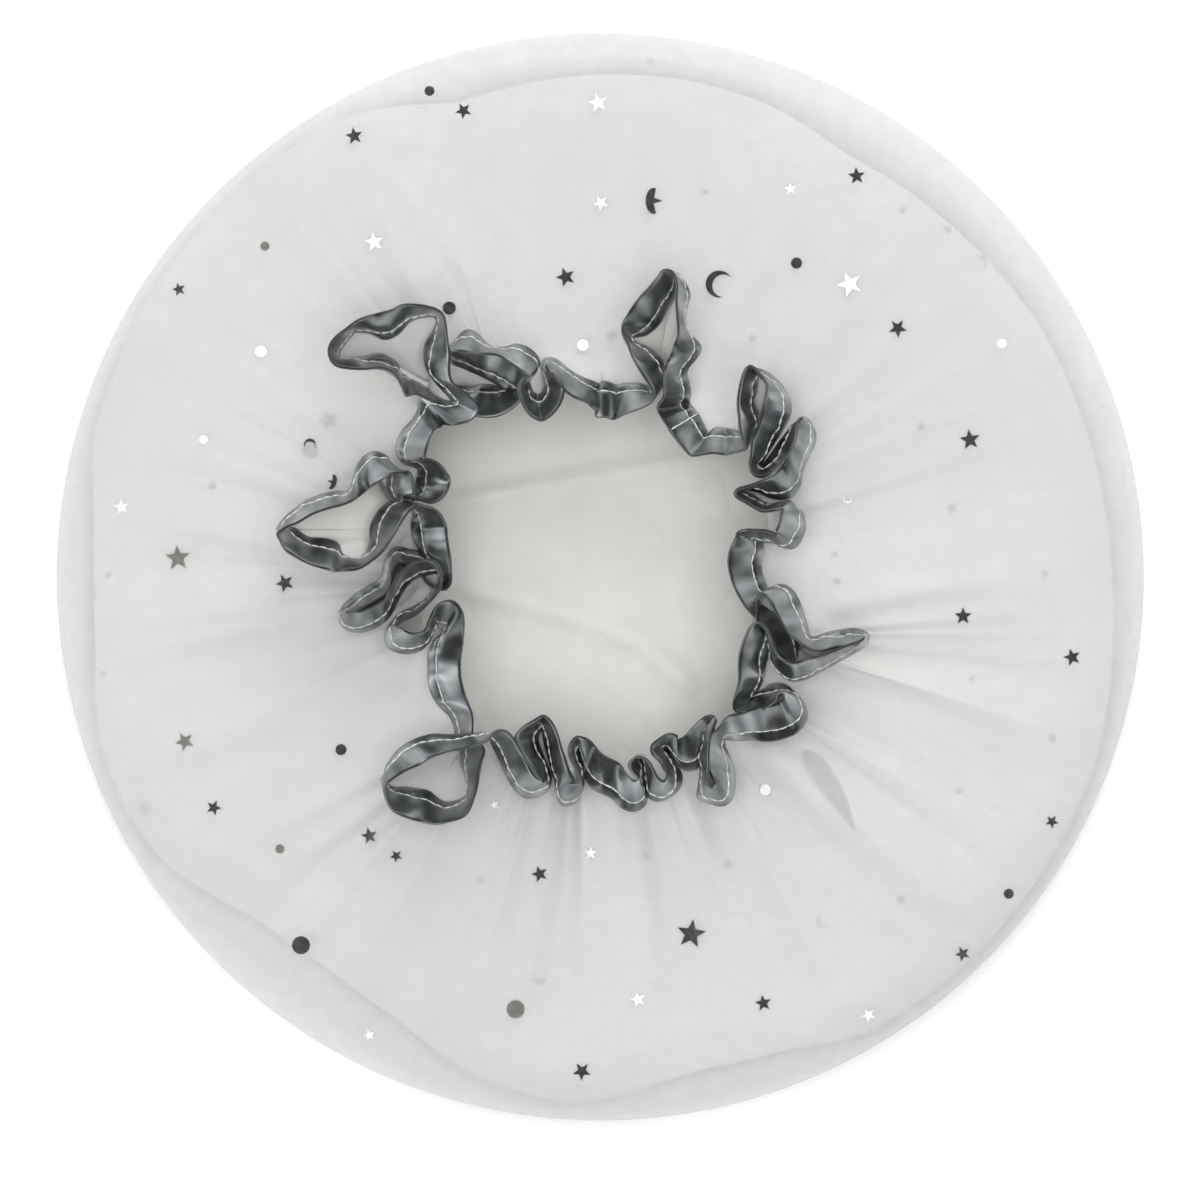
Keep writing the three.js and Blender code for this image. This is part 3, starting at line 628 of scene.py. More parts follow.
def beads(centre, across, up):
    """A closed bead of thread along each path. The arguments are arrays of path, ring and xyz."""
    count, rings = centre.shape[:2]
    turn = np.arange(THREAD_SIDES) * 2 * math.pi / THREAD_SIDES
    spokes = np.cos(turn)[:, None] * across[:, :, None] + np.sin(turn)[:, None] * up[:, :, None]
    points = centre[:, :, None] + (THREAD_RADIUS * THREAD_TAPER)[:, None, None] * spokes
    faces = []
    for k in range(count):
        starts = (k * rings + np.arange(rings)) * THREAD_SIDES
        rims = [[start + i for i in range(THREAD_SIDES)] for start in starts]
        for low, high in zip(rims, rims[1:]):
            faces += [(low[i - 1], low[i], high[i], high[i - 1]) for i in range(THREAD_SIDES)]
        faces += [rims[0][::-1], rims[-1]]
    return points.reshape(-1, 3), faces


def stitch_row(side):
    """Stitches along the tape on one face, spaced by the length of the stitch line."""
    way, whole = travelled(middle + width * STITCH_LINE)
    count = int(whole // STITCH_PITCH)
    wanted = np.arange(count)[:, None] * whole / count + np.linspace(0, STITCH_LENGTH, len(THREAD_RISE))
    at = np.interp(wanted, np.append(way, whole), np.arange(stations + 1))
    depth = on_tape(at, flutter(STITCH_LINE)) + side * (STITCH_FACE + THREAD_RISE)
    across, up = on_tape(at, width), on_tape(at, facing)
    return on_tape(at, middle) + across * STITCH_LINE + up * depth[..., None], across, up


def join_row(side):
    """Stitches across the tape at its join."""
    starts = np.arange(JOIN_FROM, JOIN_TO, STITCH_PITCH)
    across = starts[:, None] + np.linspace(0, STITCH_LENGTH, len(THREAD_RISE))
    depth = flutter(0.0)[seam_station] + side * (JOIN_FACE + THREAD_RISE)
    shape = across.shape + (3,)
    spot = middle[seam_station] + width[seam_station] * across[..., None]
    spot = spot + facing[seam_station] * np.broadcast_to(depth, across.shape)[..., None]
    return spot, np.broadcast_to(ahead[seam_station], shape), np.broadcast_to(facing[seam_station], shape)


def make_thread():
    material, tree, shader = new_finish("pale_thread", THREAD_LIGHT, 0.6, Sheen_Weight=0.3)
    twist, worn = crumple(tree, 0.0008), crumple(tree, 0.012)
    coloured(tree, shader, worn.outputs["Height"], THREAD_DARK, THREAD_LIGHT)
    raised(tree, shader, twist.outputs["Height"], 0.00008, 0.6)
    return material


rows = [row(side) for row in (stitch_row, join_row) for side in (1, -1)]
thread_points, thread_faces = beads(*(np.concatenate(parts) for parts in zip(*rows)))
new_piece("binding_stitches", thread_points, thread_faces, make_thread())

# %% [markdown]
# ## The two bags
#
# Cloth that is drawn up on an elastic hangs from the tape in flutes. Under a loop that has
# flopped outwards, the cloth runs back in to the gathered line, turns over a soft crest and runs
# out again to the rim. So each column of the bag's grid starts at the tape's seam edge, goes to
# the crest, out to the rim, round it and under to the crown. The liner takes the same columns,
# a hair further in, with its own outline.

# %% Where each column of cloth starts and turns
CLOTH_COLUMNS = 800
SEAM_TUCK = 1.6
SEAM_UNDER = 0.3
CREST_OUT = 6.5
HELD_LINE = {
    9: 40, 26: 44, 35: 52, 49: 52, 54: 48, 63: 51, 71: 57, 87: 52, 97: 56, 109: 62, 125: 60, 136: 64,
    153: 62, 160: 49, 169: 44, 188: 40, 202: 43, 218: 49, 229: 52, 241: 44, 257: 41, 270: 45, 285: 49,
    300: 49, 318: 52, 333: 50, 342: 56, 354: 54,
}
MOUTH_MIDDLE = (-1.0, -3.0)
CREST_HEIGHT = 17.0
CREST_BLUR = 6.0
RIM_BLUR = 55.0
LEAN_SHARE = 0.4

column_at = np.interp(np.arange(CLOTH_COLUMNS) * tape_length / CLOTH_COLUMNS, tape_way, np.arange(stations))
cloth_step = tape_length / CLOTH_COLUMNS
seam_side = seam_edge + width * SEAM_TUCK - facing * facing[:, 2:] * SEAM_UNDER
cloth_start = on_tape(column_at, seam_side)
seam_down = unit(on_tape(column_at, -width) * LEAN_SHARE - [0, 0, 1])


def steady_angle(reach):
    """The angle round the mouth at each column, in degrees, blurred until it only grows."""
    x, y = (on_tape(column_at, middle)[:, :2] - MOUTH_MIDDLE).T
    angle = np.degrees(np.unwrap(np.arctan2(y, x)))
    lap = 360.0 * np.arange(CLOTH_COLUMNS) / CLOTH_COLUMNS
    both_ways = (np.maximum.accumulate(angle) + np.minimum.accumulate(angle[::-1])[::-1]) / 2
    return blurred(both_ways - lap, reach, cloth_step) + lap


def read_round(table, degrees, reach):
    """A table's values at angles round the cap, blurred by reach."""
    return blurred(np.interp(degrees, list(table), list(table.values()), period=360), reach, cloth_step)


held_angle, rim_angle = steady_angle(CREST_BLUR), steady_angle(RIM_BLUR)
crest_radius = read_round(HELD_LINE, held_angle, CREST_BLUR) + CREST_OUT


def ring_place(degrees, radius, height, centre=(0.0, 0.0)):
    """Points at an angle and a radius, a row to each angle."""
    angle = np.radians(degrees)
    x, y = centre[0] + radius * np.cos(angle), centre[1] + radius * np.sin(angle)
    return np.stack([x, y, np.broadcast_to(height, x.shape)], axis=-1)


crest = ring_place(held_angle, crest_radius, CREST_HEIGHT, MOUTH_MIDDLE)
print("crest at", crest_radius.min().round(1), "to", crest_radius.max().round(1), "mm from the middle")

# %% [markdown]
# The visible panel is not flat. Fine flutes start at the gathers and die out within a few
# centimetres, broader ones run most of the way to the rim, and a few long folds are left from
# the packet. The flutes are random hills along the tape that fade outwards. The long folds are
# charted, each as a line with a height and a width.

# %% Flutes and folds
Flute = namedtuple("Flute", "reach height fade")
FLUTES = [Flute(2.6, .40, 30), Flute(5.0, .62, 55), Flute(11.0, .75, 95)]
FLUTES_START = 8.0
MORE_SOUTH = 0.8
SOUTH_AT = 275
flute_rng = np.random.default_rng(23)
flute_hills = [ripple(flute_rng, flute.reach, CLOTH_COLUMNS, cloth_step) for flute in FLUTES]

Crease = namedtuple("Crease", "x1 y1 x2 y2 height spread")
CROWN_CREASES = [
    Crease(-40, 20, 24, 31, 2.0, 2.2),
    Crease(-38, -2, -11, -9, 1.7, 3.4),
    Crease(-11, -9, 11, -17, 1.7, 3.4),
    Crease(11, -17, 24, -30, 1.5, 3.4),
    Crease(-30, 34, -42, 10, -.6, 5.0),
]
PANEL_CREASES = [
    Crease(-54, 106, -30, 74, .54, 3.0), Crease(67, 77, 51, 42, .54, 4.0),
    Crease(-11, -64, -19, -110, .60, 2.6), Crease(11, -68, 15, -125, .60, 3.0),
    Crease(39, -64, 69, -126, .54, 3.0), Crease(51, -54, 88, -102, .66, 3.0),
    Crease(40, -100, 58, -128, -.72, 6.0), Crease(72, -18, 108, -24, -.66, 4.0),
    Crease(70, -4, 140, -2, .54, 4.0), Crease(68, -34, 132, -52, .48, 4.0),
    Crease(-57, -30, -118, -50, .54, 3.5), Crease(-62, -8, -128, -6, .42, 4.0),
]


FOLD_PAST = 0.3
FOLD_FULL = 0.25


def crease_height(points, creases):
    """What the charted folds add to the height of points of any shape that ends in xyz.

    A fold has its full height over the middle half of its line and fades out just past the ends.
    """
    total = np.zeros(points.shape[:-1])
    for crease in creases:
        start, end = np.array([crease.x1, crease.y1]), np.array([crease.x2, crease.y2])
        along = end - start
        t = ((points[..., :2] - start) @ along / (along @ along)).clip(-FOLD_PAST, 1 + FOLD_PAST)
        apart = np.linalg.norm(points[..., :2] - start - t[..., None] * along, axis=-1)
        ends = np.cos(np.clip(np.abs(t - .5) - FOLD_FULL, 0, .5) * math.pi) ** 2
        total += crease.height * ends * np.exp(-((apart / crease.spread) ** 2))
    return total


def flute_height(travel):
    """What the flutes add on each column and row. travel is the way from the crest in mm."""
    south = 1 + MORE_SOUTH * np.cos(np.radians(rim_angle - SOUTH_AT))
    total = np.zeros((CLOTH_COLUMNS, len(travel)))
    for flute, hills in zip(FLUTES, flute_hills):
        total += (flute.height * hills * south)[:, None] * np.exp(-travel / flute.fade)
    return total * np.clip(travel / FLUTES_START, 0, 1)


# %% [markdown]
# Each bag is worked out row by row: a curve from the seam edge to the crest, a curve from the
# crest to the rim, the rim's rounded section, and rings that close the crown. The rings drop
# half their columns as they shrink, so the faces stay about square.

# %% The bag as one continuous sheet
Rim = namedtuple("Rim", "inset height")
RIM = [Rim(11, 13.2), Rim(7, 12.2), Rim(3.4, 10.6), Rim(1, 8.8), Rim(0, 6.8), Rim(.6, 4.6),
       Rim(2.6, 2.4), Rim(5.5, 1.0), Rim(10, .45), Rim(16, .3), Rim(24, .3)]
FILM_RIM = [Rim(11, 13.2), Rim(6, 11.7), Rim(2.5, 10.2), Rim(.5, 9.0), Rim(0, 7.8), Rim(.7, 6.4),
            Rim(3, 4.4), Rim(6, 2.4), Rim(11, .8), Rim(17, .3), Rim(24, .3)]
RIM_SUBROWS = 2
SPOON_ROWS = 11
WALL_ROWS = 34
TURN_OVER = 7.0
TURN_DROP = 1.5
LEAVE_SEAM = 0.6
REACH_RIM = 0.9
ROW_CROWDING = 0.8
EASED_ROWS = 6
CROWN_STEP = 2.2
CROWN_DIP = 0.4
COLUMN_HALVINGS = (104, 52, 26, 13, 6)


def spoon_and_wall(wall_end):
    """Rows from the seam edge to the crest and on to the start of the rim."""
    back, onward = cloth_start - crest, wall_end - crest
    reach = np.minimum(np.linalg.norm(back, axis=1, keepdims=True), TURN_OVER)
    over = unit(onward) * TURN_OVER - unit(back) * reach - [0, 0, TURN_DROP]
    spoon = hermite(cloth_start, seam_down * reach * LEAVE_SEAM, crest, over, np.linspace(0, 1, SPOON_ROWS))
    shares = np.linspace(0, 1, WALL_ROWS)
    wall = hermite(crest, over, wall_end, onward * REACH_RIM, shares**ROW_CROWDING)
    travel = shares * np.linalg.norm(onward, axis=1).mean()
    ease_out = np.clip(shares[::-1] * EASED_ROWS, 0, 1)
    wall[..., 2] += flute_height(travel) * ease_out
    wall[..., 2] += crease_height(wall, PANEL_CREASES) * np.clip(travel / FLUTES_START, 0, 1) * ease_out
    return spoon, wall[:, 1:]


def rim_rows(outline, floor, rim):
    """Rows round the rim. outline is the radius at each column and floor the lowest height."""
    table = np.array(rim)
    fine = np.linspace(0, len(table) - 1, (len(table) - 1) * RIM_SUBROWS + 1)[1:]
    spots = closed_curve(np.vstack([table, table[-2:0:-1]]))[:(len(table) - 1) * SPAN_SAMPLES + 1]
    inset, height = spots[np.round(fine * SPAN_SAMPLES).astype(int)].T
    top, bottom = rim[0].height, rim[-1].height
    rise = floor + (height - bottom) * (top - floor) / (top - bottom)
    rows = [ring_place(rim_angle, outline - i, h) for i, h in zip(inset, rise)]
    return np.stack(rows, axis=1)


def crown_rings(outline, floor, creases):
    """Rings from the rim's foot to the middle, each with its own count of columns."""
    rings = []
    start = outline - RIM[-1].inset
    steps = int(start.min() // CROWN_STEP)
    for k in range(1, steps):
        share = 1 - k / steps
        keep = 2 ** sum(share * start.mean() < limit for limit in COLUMN_HALVINGS)
        ring = ring_place(rim_angle[::keep], start[::keep] * share, floor)
        ring[:, 2] += crease_height(ring, creases).clip(-CROWN_DIP, None)
        rings.append(ring)
    return rings


def sew_rings(outer, inner):
    """Faces between two rings of point numbers. The inner may have half the columns."""
    n, m = len(outer), len(inner)
    if n == m:
        return [(outer[i - 1], outer[i], inner[i], inner[i - 1]) for i in range(n)]
    faces = []
    for i in range(m):
        a, b, c = outer[2 * i], outer[2 * i + 1], outer[(2 * i + 2) % n]
        p, q = inner[i], inner[(i + 1) % m]
        faces += [(a, b, p), (b, q, p), (b, c, q)]
    return faces


def bag_mesh(sheet, rings):
    """Points and faces of the sheet and the crown's rings as one mesh."""
    columns, rows = sheet.shape[:2]
    faces = [tuple(face) for face in grid_faces(columns, rows, closed_rows=False)]
    points, count = [sheet.reshape(-1, 3)], columns * rows
    outer = np.arange(columns) * rows + rows - 1
    for ring in rings:
        inner = np.arange(len(ring)) + count
        faces += sew_rings(outer, inner)
        points.append(ring)
        count += len(ring)
        outer = inner
    points.append(rings[-1].mean(axis=0, keepdims=True))
    faces += [(outer[i - 1], outer[i], count) for i in range(len(outer))]
    outward = [face[::-1] for face in faces]
    return np.concatenate(points), outward


def pushed_in(sheet, gap):
    """The sheet moved to the cap's inside. gap is a length for each row."""
    along = np.roll(sheet, -1, axis=0) - np.roll(sheet, 1, axis=0)
    down = np.gradient(sheet, axis=1)
    inside = unit(np.cross(along, down))
    for _ in range(3):
        inside = unit(inside + np.roll(inside, 1, axis=0) + np.roll(inside, -1, axis=0))
    return sheet + inside * gap[None, :, None]


# %% [markdown]
# The cover's rim is a round of the full size. The liner was cut a little smaller and has slid
# about inside it, so its outline is charted: how far it stops short of the cover's rim in each
# direction. In the south-west it runs straight, like a chord.

# %% Cover and liner
LINER_SHORT = {
    0: 7, 15: 8, 30: 8.5, 45: 11, 60: 13, 70: 9.8, 80: 9, 90: 9.4, 100: 10.5, 107: 11.5, 114: 6, 120: 2.6,
    135: 2, 150: 2, 165: 3.2, 173: 7.5, 180: 8.6, 188: 7.5, 197: 3.2, 205: 2.4, 213: 4, 225: 14.5,
    235: 16.5, 245: 14, 256: 6.2, 266: 2.8, 273: 5.5, 281: 9.6, 291: 8.4, 300: 2.6, 310: 1.6, 325: 1.6,
    340: 2.4, 350: 5,
}
LAYER_GAP = 0.45
LOOSE_GAP = 0.9
RIM_GAP = 1.5
LOOSEN_ROWS = 6
TIGHTEN_ROWS = 8
LINER_SMALLER = 0.5
LINER_BLUR = 4.0
ROUND_THE_RIM = 8.0
COVER_FLOOR = 0.3
LINER_FLOOR = 0.9


def bag(outline, floor, creases, gap, rim):
    """A whole bag. gap(rows) gives how far each row is pushed in and rim is the rim's section."""
    wall_end = ring_place(rim_angle, outline - RIM[0].inset, RIM[0].height)
    spoon, wall = spoon_and_wall(wall_end)
    sheet = np.concatenate([spoon, wall, rim_rows(outline, floor, rim)], axis=1)
    return bag_mesh(pushed_in(sheet, gap(sheet.shape[1])), crown_rings(outline, floor, creases))


def liner_gap(rows):
    """How far inside the cover the liner runs on each row. Both are sewn at the first row."""
    row = np.arange(rows)
    near, far = SPOON_ROWS * .5, SPOON_ROWS + WALL_ROWS
    return np.interp(row, [0, near, SPOON_ROWS + LOOSEN_ROWS, far - TIGHTEN_ROWS, far, rows],
                     [0, LAYER_GAP, LOOSE_GAP, RIM_GAP, RIM_GAP, 0])


def add_cut(piece, points):
    """The flat-cut coordinate in metres: from the middle of the disc, by way and by angle."""
    radius = np.linalg.norm(points[:, :2], axis=1)
    top = points[:, 2] > RIM[4].height
    way = np.where(top, 2 * CAP_RADIUS + ROUND_THE_RIM - radius, radius)
    angle = np.arctan2(points[:, 1], points[:, 0])
    flat = np.stack([way * np.cos(angle), way * np.sin(angle)], axis=1) * MM
    layer = piece.data.uv_layers.new(name="cut")
    corners = np.array([loop.vertex_index for loop in piece.data.loops])
    layer.data.foreach_set("uv", flat[corners].astype(np.float32).ravel())


cover_points, cover_faces = bag(np.full(CLOTH_COLUMNS, CAP_RADIUS), COVER_FLOOR, [], np.zeros, RIM)
liner_outline = CAP_RADIUS - LINER_SMALLER - read_round(LINER_SHORT, rim_angle, LINER_BLUR)
liner_points, liner_faces = bag(liner_outline, LINER_FLOOR, CROWN_CREASES, liner_gap, FILM_RIM)


# %% [markdown]
# ## Organza and film
#
# Organza is a very open plain weave of stiff, glossy yarn. Most light goes straight through, and
# the rest scatters, so it needs a partly clear shader with the weave in its alpha. The film
# inside is frosted plastic: nearly opaque, a little warm, soft and waxy, with fine handling
# marks. Treating either as glass would bend what lies behind, which thin sheets don't do.

# %% Sheer organza
ORGANZA_DARK = (0.64, 0.64, 0.65)
ORGANZA_LIGHT = (0.72, 0.72, 0.72)
ORGANZA_THREADS = 2600.0
BETWEEN_YARNS = 0.24
ON_YARNS = 0.34
UNEVEN = 0.10


def make_organza():
    material, tree, shader = new_finish("sheer_organza", ORGANZA_LIGHT, 0.5)
    cut = node(tree, "UVMap", uv_map="cut").outputs[0]
    yarns = placed(tree, WEAVE, {"Cut": cut, "Threads": ORGANZA_THREADS})
    soft = crumple(tree, 0.035)
    weave = spread(tree, yarns.outputs["Cover"], BETWEEN_YARNS, ON_YARNS)
    body = maths(tree, "MULTIPLY_ADD", soft.outputs["Height"], UNEVEN, weave)
    tree.links.new(body, shader.inputs["Alpha"])
    coloured(tree, shader, soft.outputs["Height"], ORGANZA_DARK, ORGANZA_LIGHT)
    rough = raised(tree, shader, soft.outputs["Height"], 0.0012, 0.5)
    raised(tree, shader, yarns.outputs["Height"], 0.00002, 0.3, under=rough)
    return material


cover = new_piece("organza_cover", cover_points, cover_faces, make_organza())
add_cut(cover, cover_points)
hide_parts("cover")


# %% Frosted film
FILM_DARK = (0.612, 0.617, 0.585)
FILM_LIGHT = (0.710, 0.715, 0.682)


def make_film():
    material, tree, shader = new_finish("frosted_film", FILM_LIGHT, 0.42)
    broad, fine = crumple(tree, 0.05), crumple(tree, 0.014)
    coloured(tree, shader, broad.outputs["Height"], FILM_DARK, FILM_LIGHT)
    tree.links.new(spread(tree, fine.outputs["Crease"], .46, .32), shader.inputs["Roughness"])
    slow = raised(tree, shader, broad.outputs["Height"], 0.002, 0.3)
    raised(tree, shader, fine.outputs["Height"], 0.0003, 0.08, under=slow)
    return material


liner = new_piece("film_liner", liner_points, liner_faces, make_film())
add_cut(liner, liner_points)
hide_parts("liner")

# %% [markdown]
# In the south-east the liner has one pinched fold that lies flat like a leaf. Its darker,
# lavender grey is painted shade of the fold, so it shows through the cover. It is a strip
# between two curved edges, laid on the liner and lifted a little along its open side.

# %% The pinched fold
TUCK_OPEN_SIDE = [(801, 752), (806, 768), (818, 787), (834, 806), (852, 829)]
TUCK_SHUT_SIDE = [(802, 749), (818, 753), (834, 774), (846, 797), (855, 829)]
TUCK_ROWS = 24
TUCK_COLUMNS = 6
TUCK_LIFT = 0.5
TUCK_GAP = 0.12
TUCK_SHADE_DARK = (0.38, 0.38, 0.42)
TUCK_SHADE_LIGHT = (0.56, 0.56, 0.60)


def side_curve(marks):
    """Even points along a smooth line through a few marks in chart squares."""
    places = np.array([on_chart(*mark) for mark in marks])
    both = closed_curve(np.vstack([places, places[-2:0:-1]]))[:(len(places) - 1) * SPAN_SAMPLES + 1]
    return both[np.linspace(0, len(both) - 1, TUCK_ROWS).astype(int)]


def make_tuck():
    # The strip's colour is painted shade: greyer than the film, standing for the shade in the fold.
    material, tree, shader = new_finish("tuck_shade_film", TUCK_SHADE_LIGHT, .35, Alpha=0.6)
    soft = crumple(tree, 0.008)
    coloured(tree, shader, soft.outputs["Height"], TUCK_SHADE_DARK, TUCK_SHADE_LIGHT)
    raised(tree, shader, soft.outputs["Height"], 0.0006, 0.4)
    share = np.linspace(0, 1, TUCK_COLUMNS)[None, :, None]
    flat = side_curve(TUCK_OPEN_SIDE)[:, None] * (1 - share) + side_curve(TUCK_SHUT_SIDE)[:, None] * share
    below = BVHTree.FromPolygons([Vector(p) for p in liner_points], liner_faces)
    points = []
    for row in flat:
        for column, (x, y) in enumerate(row):
            hit = below.ray_cast(Vector((x, y, CREST_HEIGHT * 2)), Vector((0, 0, -1)))[0]
            points.append((x, y, hit.z + TUCK_GAP + TUCK_LIFT * (1 - column / (TUCK_COLUMNS - 1)) ** 2))
    corners = [r * TUCK_COLUMNS + c for r in range(TUCK_ROWS - 1) for c in range(TUCK_COLUMNS - 1)]
    faces = [(k, k + 1, k + TUCK_COLUMNS + 1, k + TUCK_COLUMNS) for k in corners]
    return new_piece("liner_tuck", points, faces, material)


tuck = make_tuck()

# %% [markdown]
# ## The foil motifs
#
# The silver motifs are foil, hot-pressed onto the organza. They are thin but real, so each is
# its own small shape laid a tenth of a millimetre over the cloth. Foil is a mirror: a motif that
# lies level shows the dark above, a tilted one flashes white, and one pressed badly is thin and
# pale. Four finishes cover that, with the mirror's part painted in: the dark finish is a painted
# reflection of the dark above, the bright one is a painted glint, and the dim one lies between.
# The chart is laid out in squares of the camera's picture, and each entry gives across, down,
# shape, size in squares, turn in degrees and finish.

# %% The chart of motifs
Motif = namedtuple("Motif", "across down shape size turn tone")
MOTIFS = [Motif(*row.split()) for row in """
355 137 star 18 10 dark; 430 92 dot 10 0 dark; 464 112 star 17 30 dark; 654 202 pointed_moon 26 0 dark
856 177 star 18 5 dark; 566 278 star 20 20 dark; 719 285 crescent 27 -22 dark; 796 264 dot 11 0 dark
897 329 star 19 40 dark; 180 290 star 14 15 dark; 450 309 dot 13 0 dark; 969 440 star 21 8 dark
333 482 pointed_moon 15 165 dark; 286 583 star 19 25 dark; 342 749 dot 11 0 dark; 215 807 star 16 50 dark
370 835 star 17 12 dark; 397 855 star 13 30 dark; 540 873 star 17 18 dark; 302 944 dot 18 0 dark
516 1008 dot 18 0 dim; 582 1070 star 19 33 dark; 691 933 star 30 -8 dark; 763 1002 star 17 10 dark
962 953 star 16 25 dark; 1008 893 dot 10 0 dark; 1051 821 star 14 40 dark; 962 616 star 18 0 dark
1071 657 star 18 16 dark; 311 450 dot 17 0 faint; 311 445 crescent 12 -95 dark; 266 247 dot 9 0 dim
96 594 dot 7 0 faint
598 104 star 20 12 bright; 601 204 star 16 30 bright; 790 190 star 13 5 bright; 375 243 star 20 10 bright
849 285 star 26 22 bright; 262 352 dot 12 0 bright; 583 346 dot 12 0 bright; 1001 344 dot 10 0 bright
205 440 dot 9 0 bright; 123 507 star 16 8 bright; 495 804 star 10 20 bright; 591 852 star 14 0 bright
638 998 star 16 15 bright; 868 1014 star 15 30 bright; 765 789 dot 11 0 bright; 847 499 crescent 9 90 bright
329 421 star 23 18 faint; 179 558 star 26 4 dim; 186 741 star 20 28 dim; 145 808 star 20 12 faint
281 848 dot 9 0 dim; 214 486 dot 8 0 faint; 110 574 dot 7 0 faint; 104 673 dot 7 0 faint
650 62 star 12 0 faint; 612 337 square 13 30 faint; 705 193 square 9 15 faint; 902 211 square 10 50 faint
947 230 dot 8 0 faint; 979 264 crescent 16 210 faint; 752 339 star 12 8 faint; 920 427 dot 8 0 faint
951 508 star 15 20 faint; 1043 573 dot 7 0 faint; 834 554 square 8 10 faint; 836 581 dot 7 0 faint
971 678 square 9 40 faint; 1051 738 dot 8 0 faint; 958 790 square 9 12 faint; 900 899 dot 8 0 faint
822 920 crescent 13 30 faint; 728 863 dot 7 0 faint; 646 854 dot 7 0 faint; 481 879 square 9 33 faint
540 976 crescent 14 80 faint; 370 1034 star 12 16 bright
""".replace("\n", ";").split(";") if row.strip()]
print(len(MOTIFS), "motifs on the panel")


# %% Shapes of the motifs, each a ring of points of size 1 round its middle
STAR_WAIST = 0.215


def star_outline():
    points = []
    for k in range(10):
        angle, radius = math.radians(90 + 36 * k), .5 if k % 2 == 0 else STAR_WAIST
        points.append((radius * math.cos(angle), radius * math.sin(angle)))
    return points


def round_outline(count=20):
    return [(.5 * math.cos(2 * math.pi * k / count), .5 * math.sin(2 * math.pi * k / count))
            for k in range(count)]


def crescent_outline():
    """Two arcs that meet in two horns. The opening faces east."""
    outer = [(.5 * math.cos(a), .5 * math.sin(a)) for a in np.radians(np.linspace(50, 310, 16))]
    inner = [(.17 + .42 * math.cos(a), .42 * math.sin(a)) for a in np.radians(np.linspace(272, 88, 14))]
    return outer + inner


def pointed_moon_outline():
    """A crescent with the point of a star in its opening."""
    outer = [(-.02 + .3 * math.cos(a), .5 * math.sin(a)) for a in np.radians(np.linspace(72, 288, 14))]
    return outer + [(-.02, -.1), (.32, .0), (.0, .12)]


def square_outline():
    return [(-.4, -.3), (.4, -.3), (.4, .3), (-.4, .3)]


OUTLINES = {"star": star_outline(), "dot": round_outline(), "crescent": crescent_outline(),
            "pointed_moon": pointed_moon_outline(), "square": square_outline()}

# %% [markdown]
# A motif is cut from a fine flat sheet and each of its points is dropped onto the cloth, so it
# follows the flutes below it. Its outline is filled by triangulating, then cut finer.

# %% Pressing the motifs onto the cover
FOIL_LIFT = 0.12
FOIL_CUTS = 2
DROP_FROM = 60.0


def foil_patch(shape, size, turn):
    """Flat points and faces of a motif, fine enough to bend."""
    mesh = bmesh.new()
    c, s = math.cos(math.radians(turn)), math.sin(math.radians(turn))
    turned = [(x * c - y * s, x * s + y * c) for x, y in OUTLINES[shape]]
    corners = [mesh.verts.new((size * x, size * y, 0)) for x, y in turned]
    mesh.faces.new(corners).normal_update()
    bmesh.ops.triangulate(mesh, faces=mesh.faces[:])
    bmesh.ops.subdivide_edges(mesh, edges=mesh.edges[:], cuts=FOIL_CUTS, use_grid_fill=True)
    mesh.verts.index_update()
    points = np.array([v.co for v in mesh.verts])
    faces = [[v.index for v in face.verts] for face in mesh.faces]
    mesh.free()
    return points, faces


def pressed(points, x, y, tree):
    """The patch dropped onto the cloth from above, or None where a part of it would miss."""
    laid = []
    for px, py in points[:, :2]:
        hit = tree.ray_cast(Vector((x + px, y + py, DROP_FROM)), Vector((0, 0, -1)))[0]
        if hit is None:
            return None
        laid.append(hit + FOIL_LIFT * Vector((0, 0, 1)))
    return laid


def foil_piece(name, patches, material):
    """One mesh of many patches."""
    points, faces = [], []
    for laid, patch_faces in patches:
        faces += [[len(points) + i for i in face] for face in patch_faces]
        points += [list(p) for p in laid]
    return new_piece(name, points, faces, material)


cover_tree = BVHTree.FromPolygons([Vector(p) for p in cover_points], cover_faces)
pressed_motifs = {}
for motif in MOTIFS:
    x, y = on_chart(float(motif.across), float(motif.down))
    flat, flat_faces = foil_patch(motif.shape, float(motif.size) * CHART_SQUARE, float(motif.turn))
    laid = pressed(flat, x, y, cover_tree)
    if laid:
        pressed_motifs.setdefault(motif.tone, []).append((laid, flat_faces))
print({tone: len(patches) for tone, patches in pressed_motifs.items()})

# %% Foil finishes
Foil = namedtuple("Foil", "low high metallic roughness alpha")
# dark and dim are painted reflection of the dark above, bright is a painted glint, and faint is a thin,
# pale pressing.
FOILS = {
    "dark": Foil((.05, .055, .06), (.20, .21, .22), .75, .32, 1.0),
    "dim": Foil((.16, .155, .14), (.40, .39, .37), .6, .35, .8),
    "faint": Foil((.55, .55, .54), (.72, .72, .71), .3, .4, .42),
    "bright": Foil((.93, .93, .93), (1, 1, 1), .2, .3, 1.0),
}


def make_foil(tone):
    foil = FOILS[tone]
    material, tree, shader = new_finish("foil_" + tone, foil.high, foil.roughness,
                                        Metallic=foil.metallic, Alpha=foil.alpha)
    worn = crumple(tree, 0.0016)
    coloured(tree, shader, worn.outputs["Height"], foil.low, foil.high)
    raised(tree, shader, worn.outputs["Height"], 0.0002, 0.5)
    return material


for tone, patches in pressed_motifs.items():
    foil_piece("foil_motifs_" + tone, patches, make_foil(tone))

# %% [markdown]
# ## Floor, light and the way it is seen
#
# The cap is white on white, so the light does the drawing. The floor is a matt sweep, lit until
# it is just white. A wide soft box low in the north is the key, and the shade on the far side of
# the liner's rim is what sets it off from the cover. Another hangs over the cap and lights the
# level cloth. Neither is mirrored in the satin. The sky is dark straight overhead and bright
# lower down, so level satin stays dark and tilted satin shines.

# %% Floor
FLOOR_HALF = 1.6
FLOOR_CELLS = 16


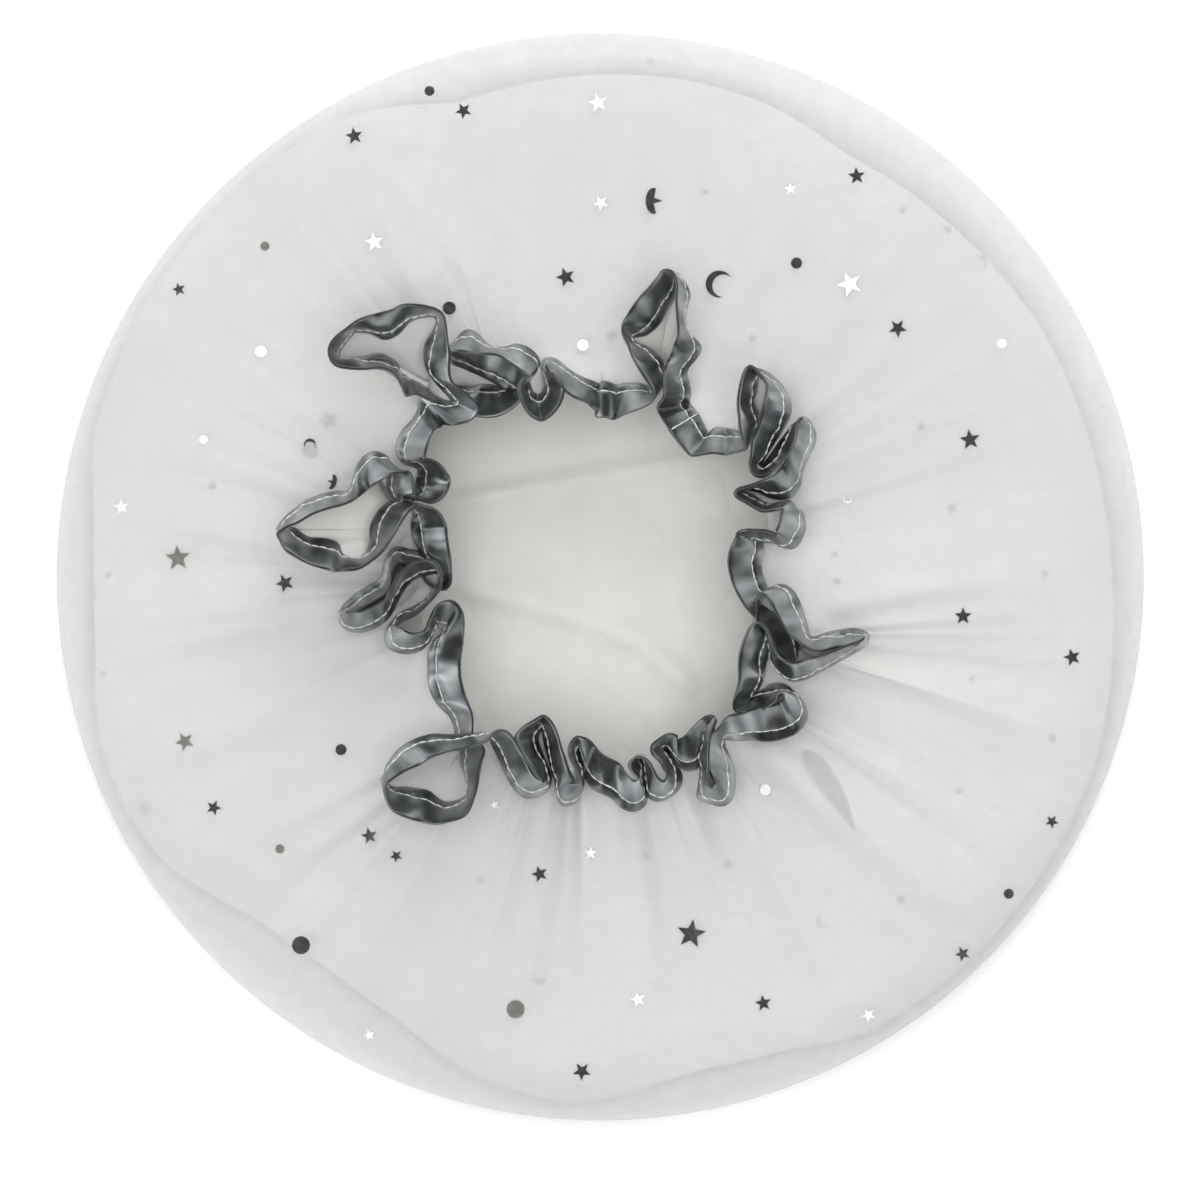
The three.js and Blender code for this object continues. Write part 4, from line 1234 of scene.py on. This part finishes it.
def make_floor():
    material, tree, shader = new_finish("studio_floor", (.93, .93, .93), .85, Specular_IOR_Level=.1)
    coloured(tree, shader, crumple(tree, 0.004).outputs["Height"], (.92, .92, .92), (.95, .95, .95))
    mesh = bmesh.new()
    bmesh.ops.create_grid(mesh, x_segments=FLOOR_CELLS, y_segments=FLOOR_CELLS, size=FLOOR_HALF)
    data = bpy.data.meshes.new("studio_floor")
    mesh.to_mesh(data)
    mesh.free()
    data.materials.append(material)
    floor = bpy.data.objects.new("studio_floor", data)
    bpy.context.scene.collection.objects.link(floor)


make_floor()


# %% Sky and soft boxes
def make_sky():
    """Dark overhead, bright from half way down."""
    world = bpy.data.worlds.new("studio_sky")
    bpy.context.scene.world = world
    world.use_nodes = True
    tree = world.node_tree
    up = node(tree, "SeparateXYZ", {0: node(tree, "TexCoord").outputs["Generated"]}).outputs["Z"]
    ramp = node(tree, "ValToRGB", {0: up})
    ramp.color_ramp.elements[0].color = (.80, .80, .80, 1)
    ramp.color_ramp.elements[0].position = .45
    ramp.color_ramp.elements[1].color = (.02, .022, .024, 1)
    ramp.color_ramp.elements[1].position = .80
    tree.links.new(ramp.outputs[0], tree.nodes["Background"].inputs["Color"])


def soft_box(name, azimuth, elevation, distance, size, watts, mirrored=True):
    """A square area light that faces the cap. The camera doesn't see it."""
    light = bpy.data.lights.new(name, "AREA")
    light.size = size
    light.energy = watts
    lamp = bpy.data.objects.new(name, light)
    turn, tilt = math.radians(azimuth), math.radians(elevation)
    lamp.location = distance * Vector((math.cos(turn) * math.cos(tilt), math.sin(turn) * math.cos(tilt),
                                       math.sin(tilt)))
    lamp.rotation_euler = (-lamp.location).to_track_quat("-Z", "Y").to_euler()
    lamp.visible_camera = False
    lamp.visible_glossy = mirrored
    bpy.context.scene.collection.objects.link(lamp)


make_sky()
soft_box("key_box", 76, 25, 2.2, 1.5, 26, mirrored=False)
soft_box("fill_box", 200, 38, 2.2, 1.6, 7.5)
soft_box("top_box", 264, 86, 1.8, 2.2, 34, mirrored=False)
bpy.context.scene.view_settings.view_transform = "Standard"
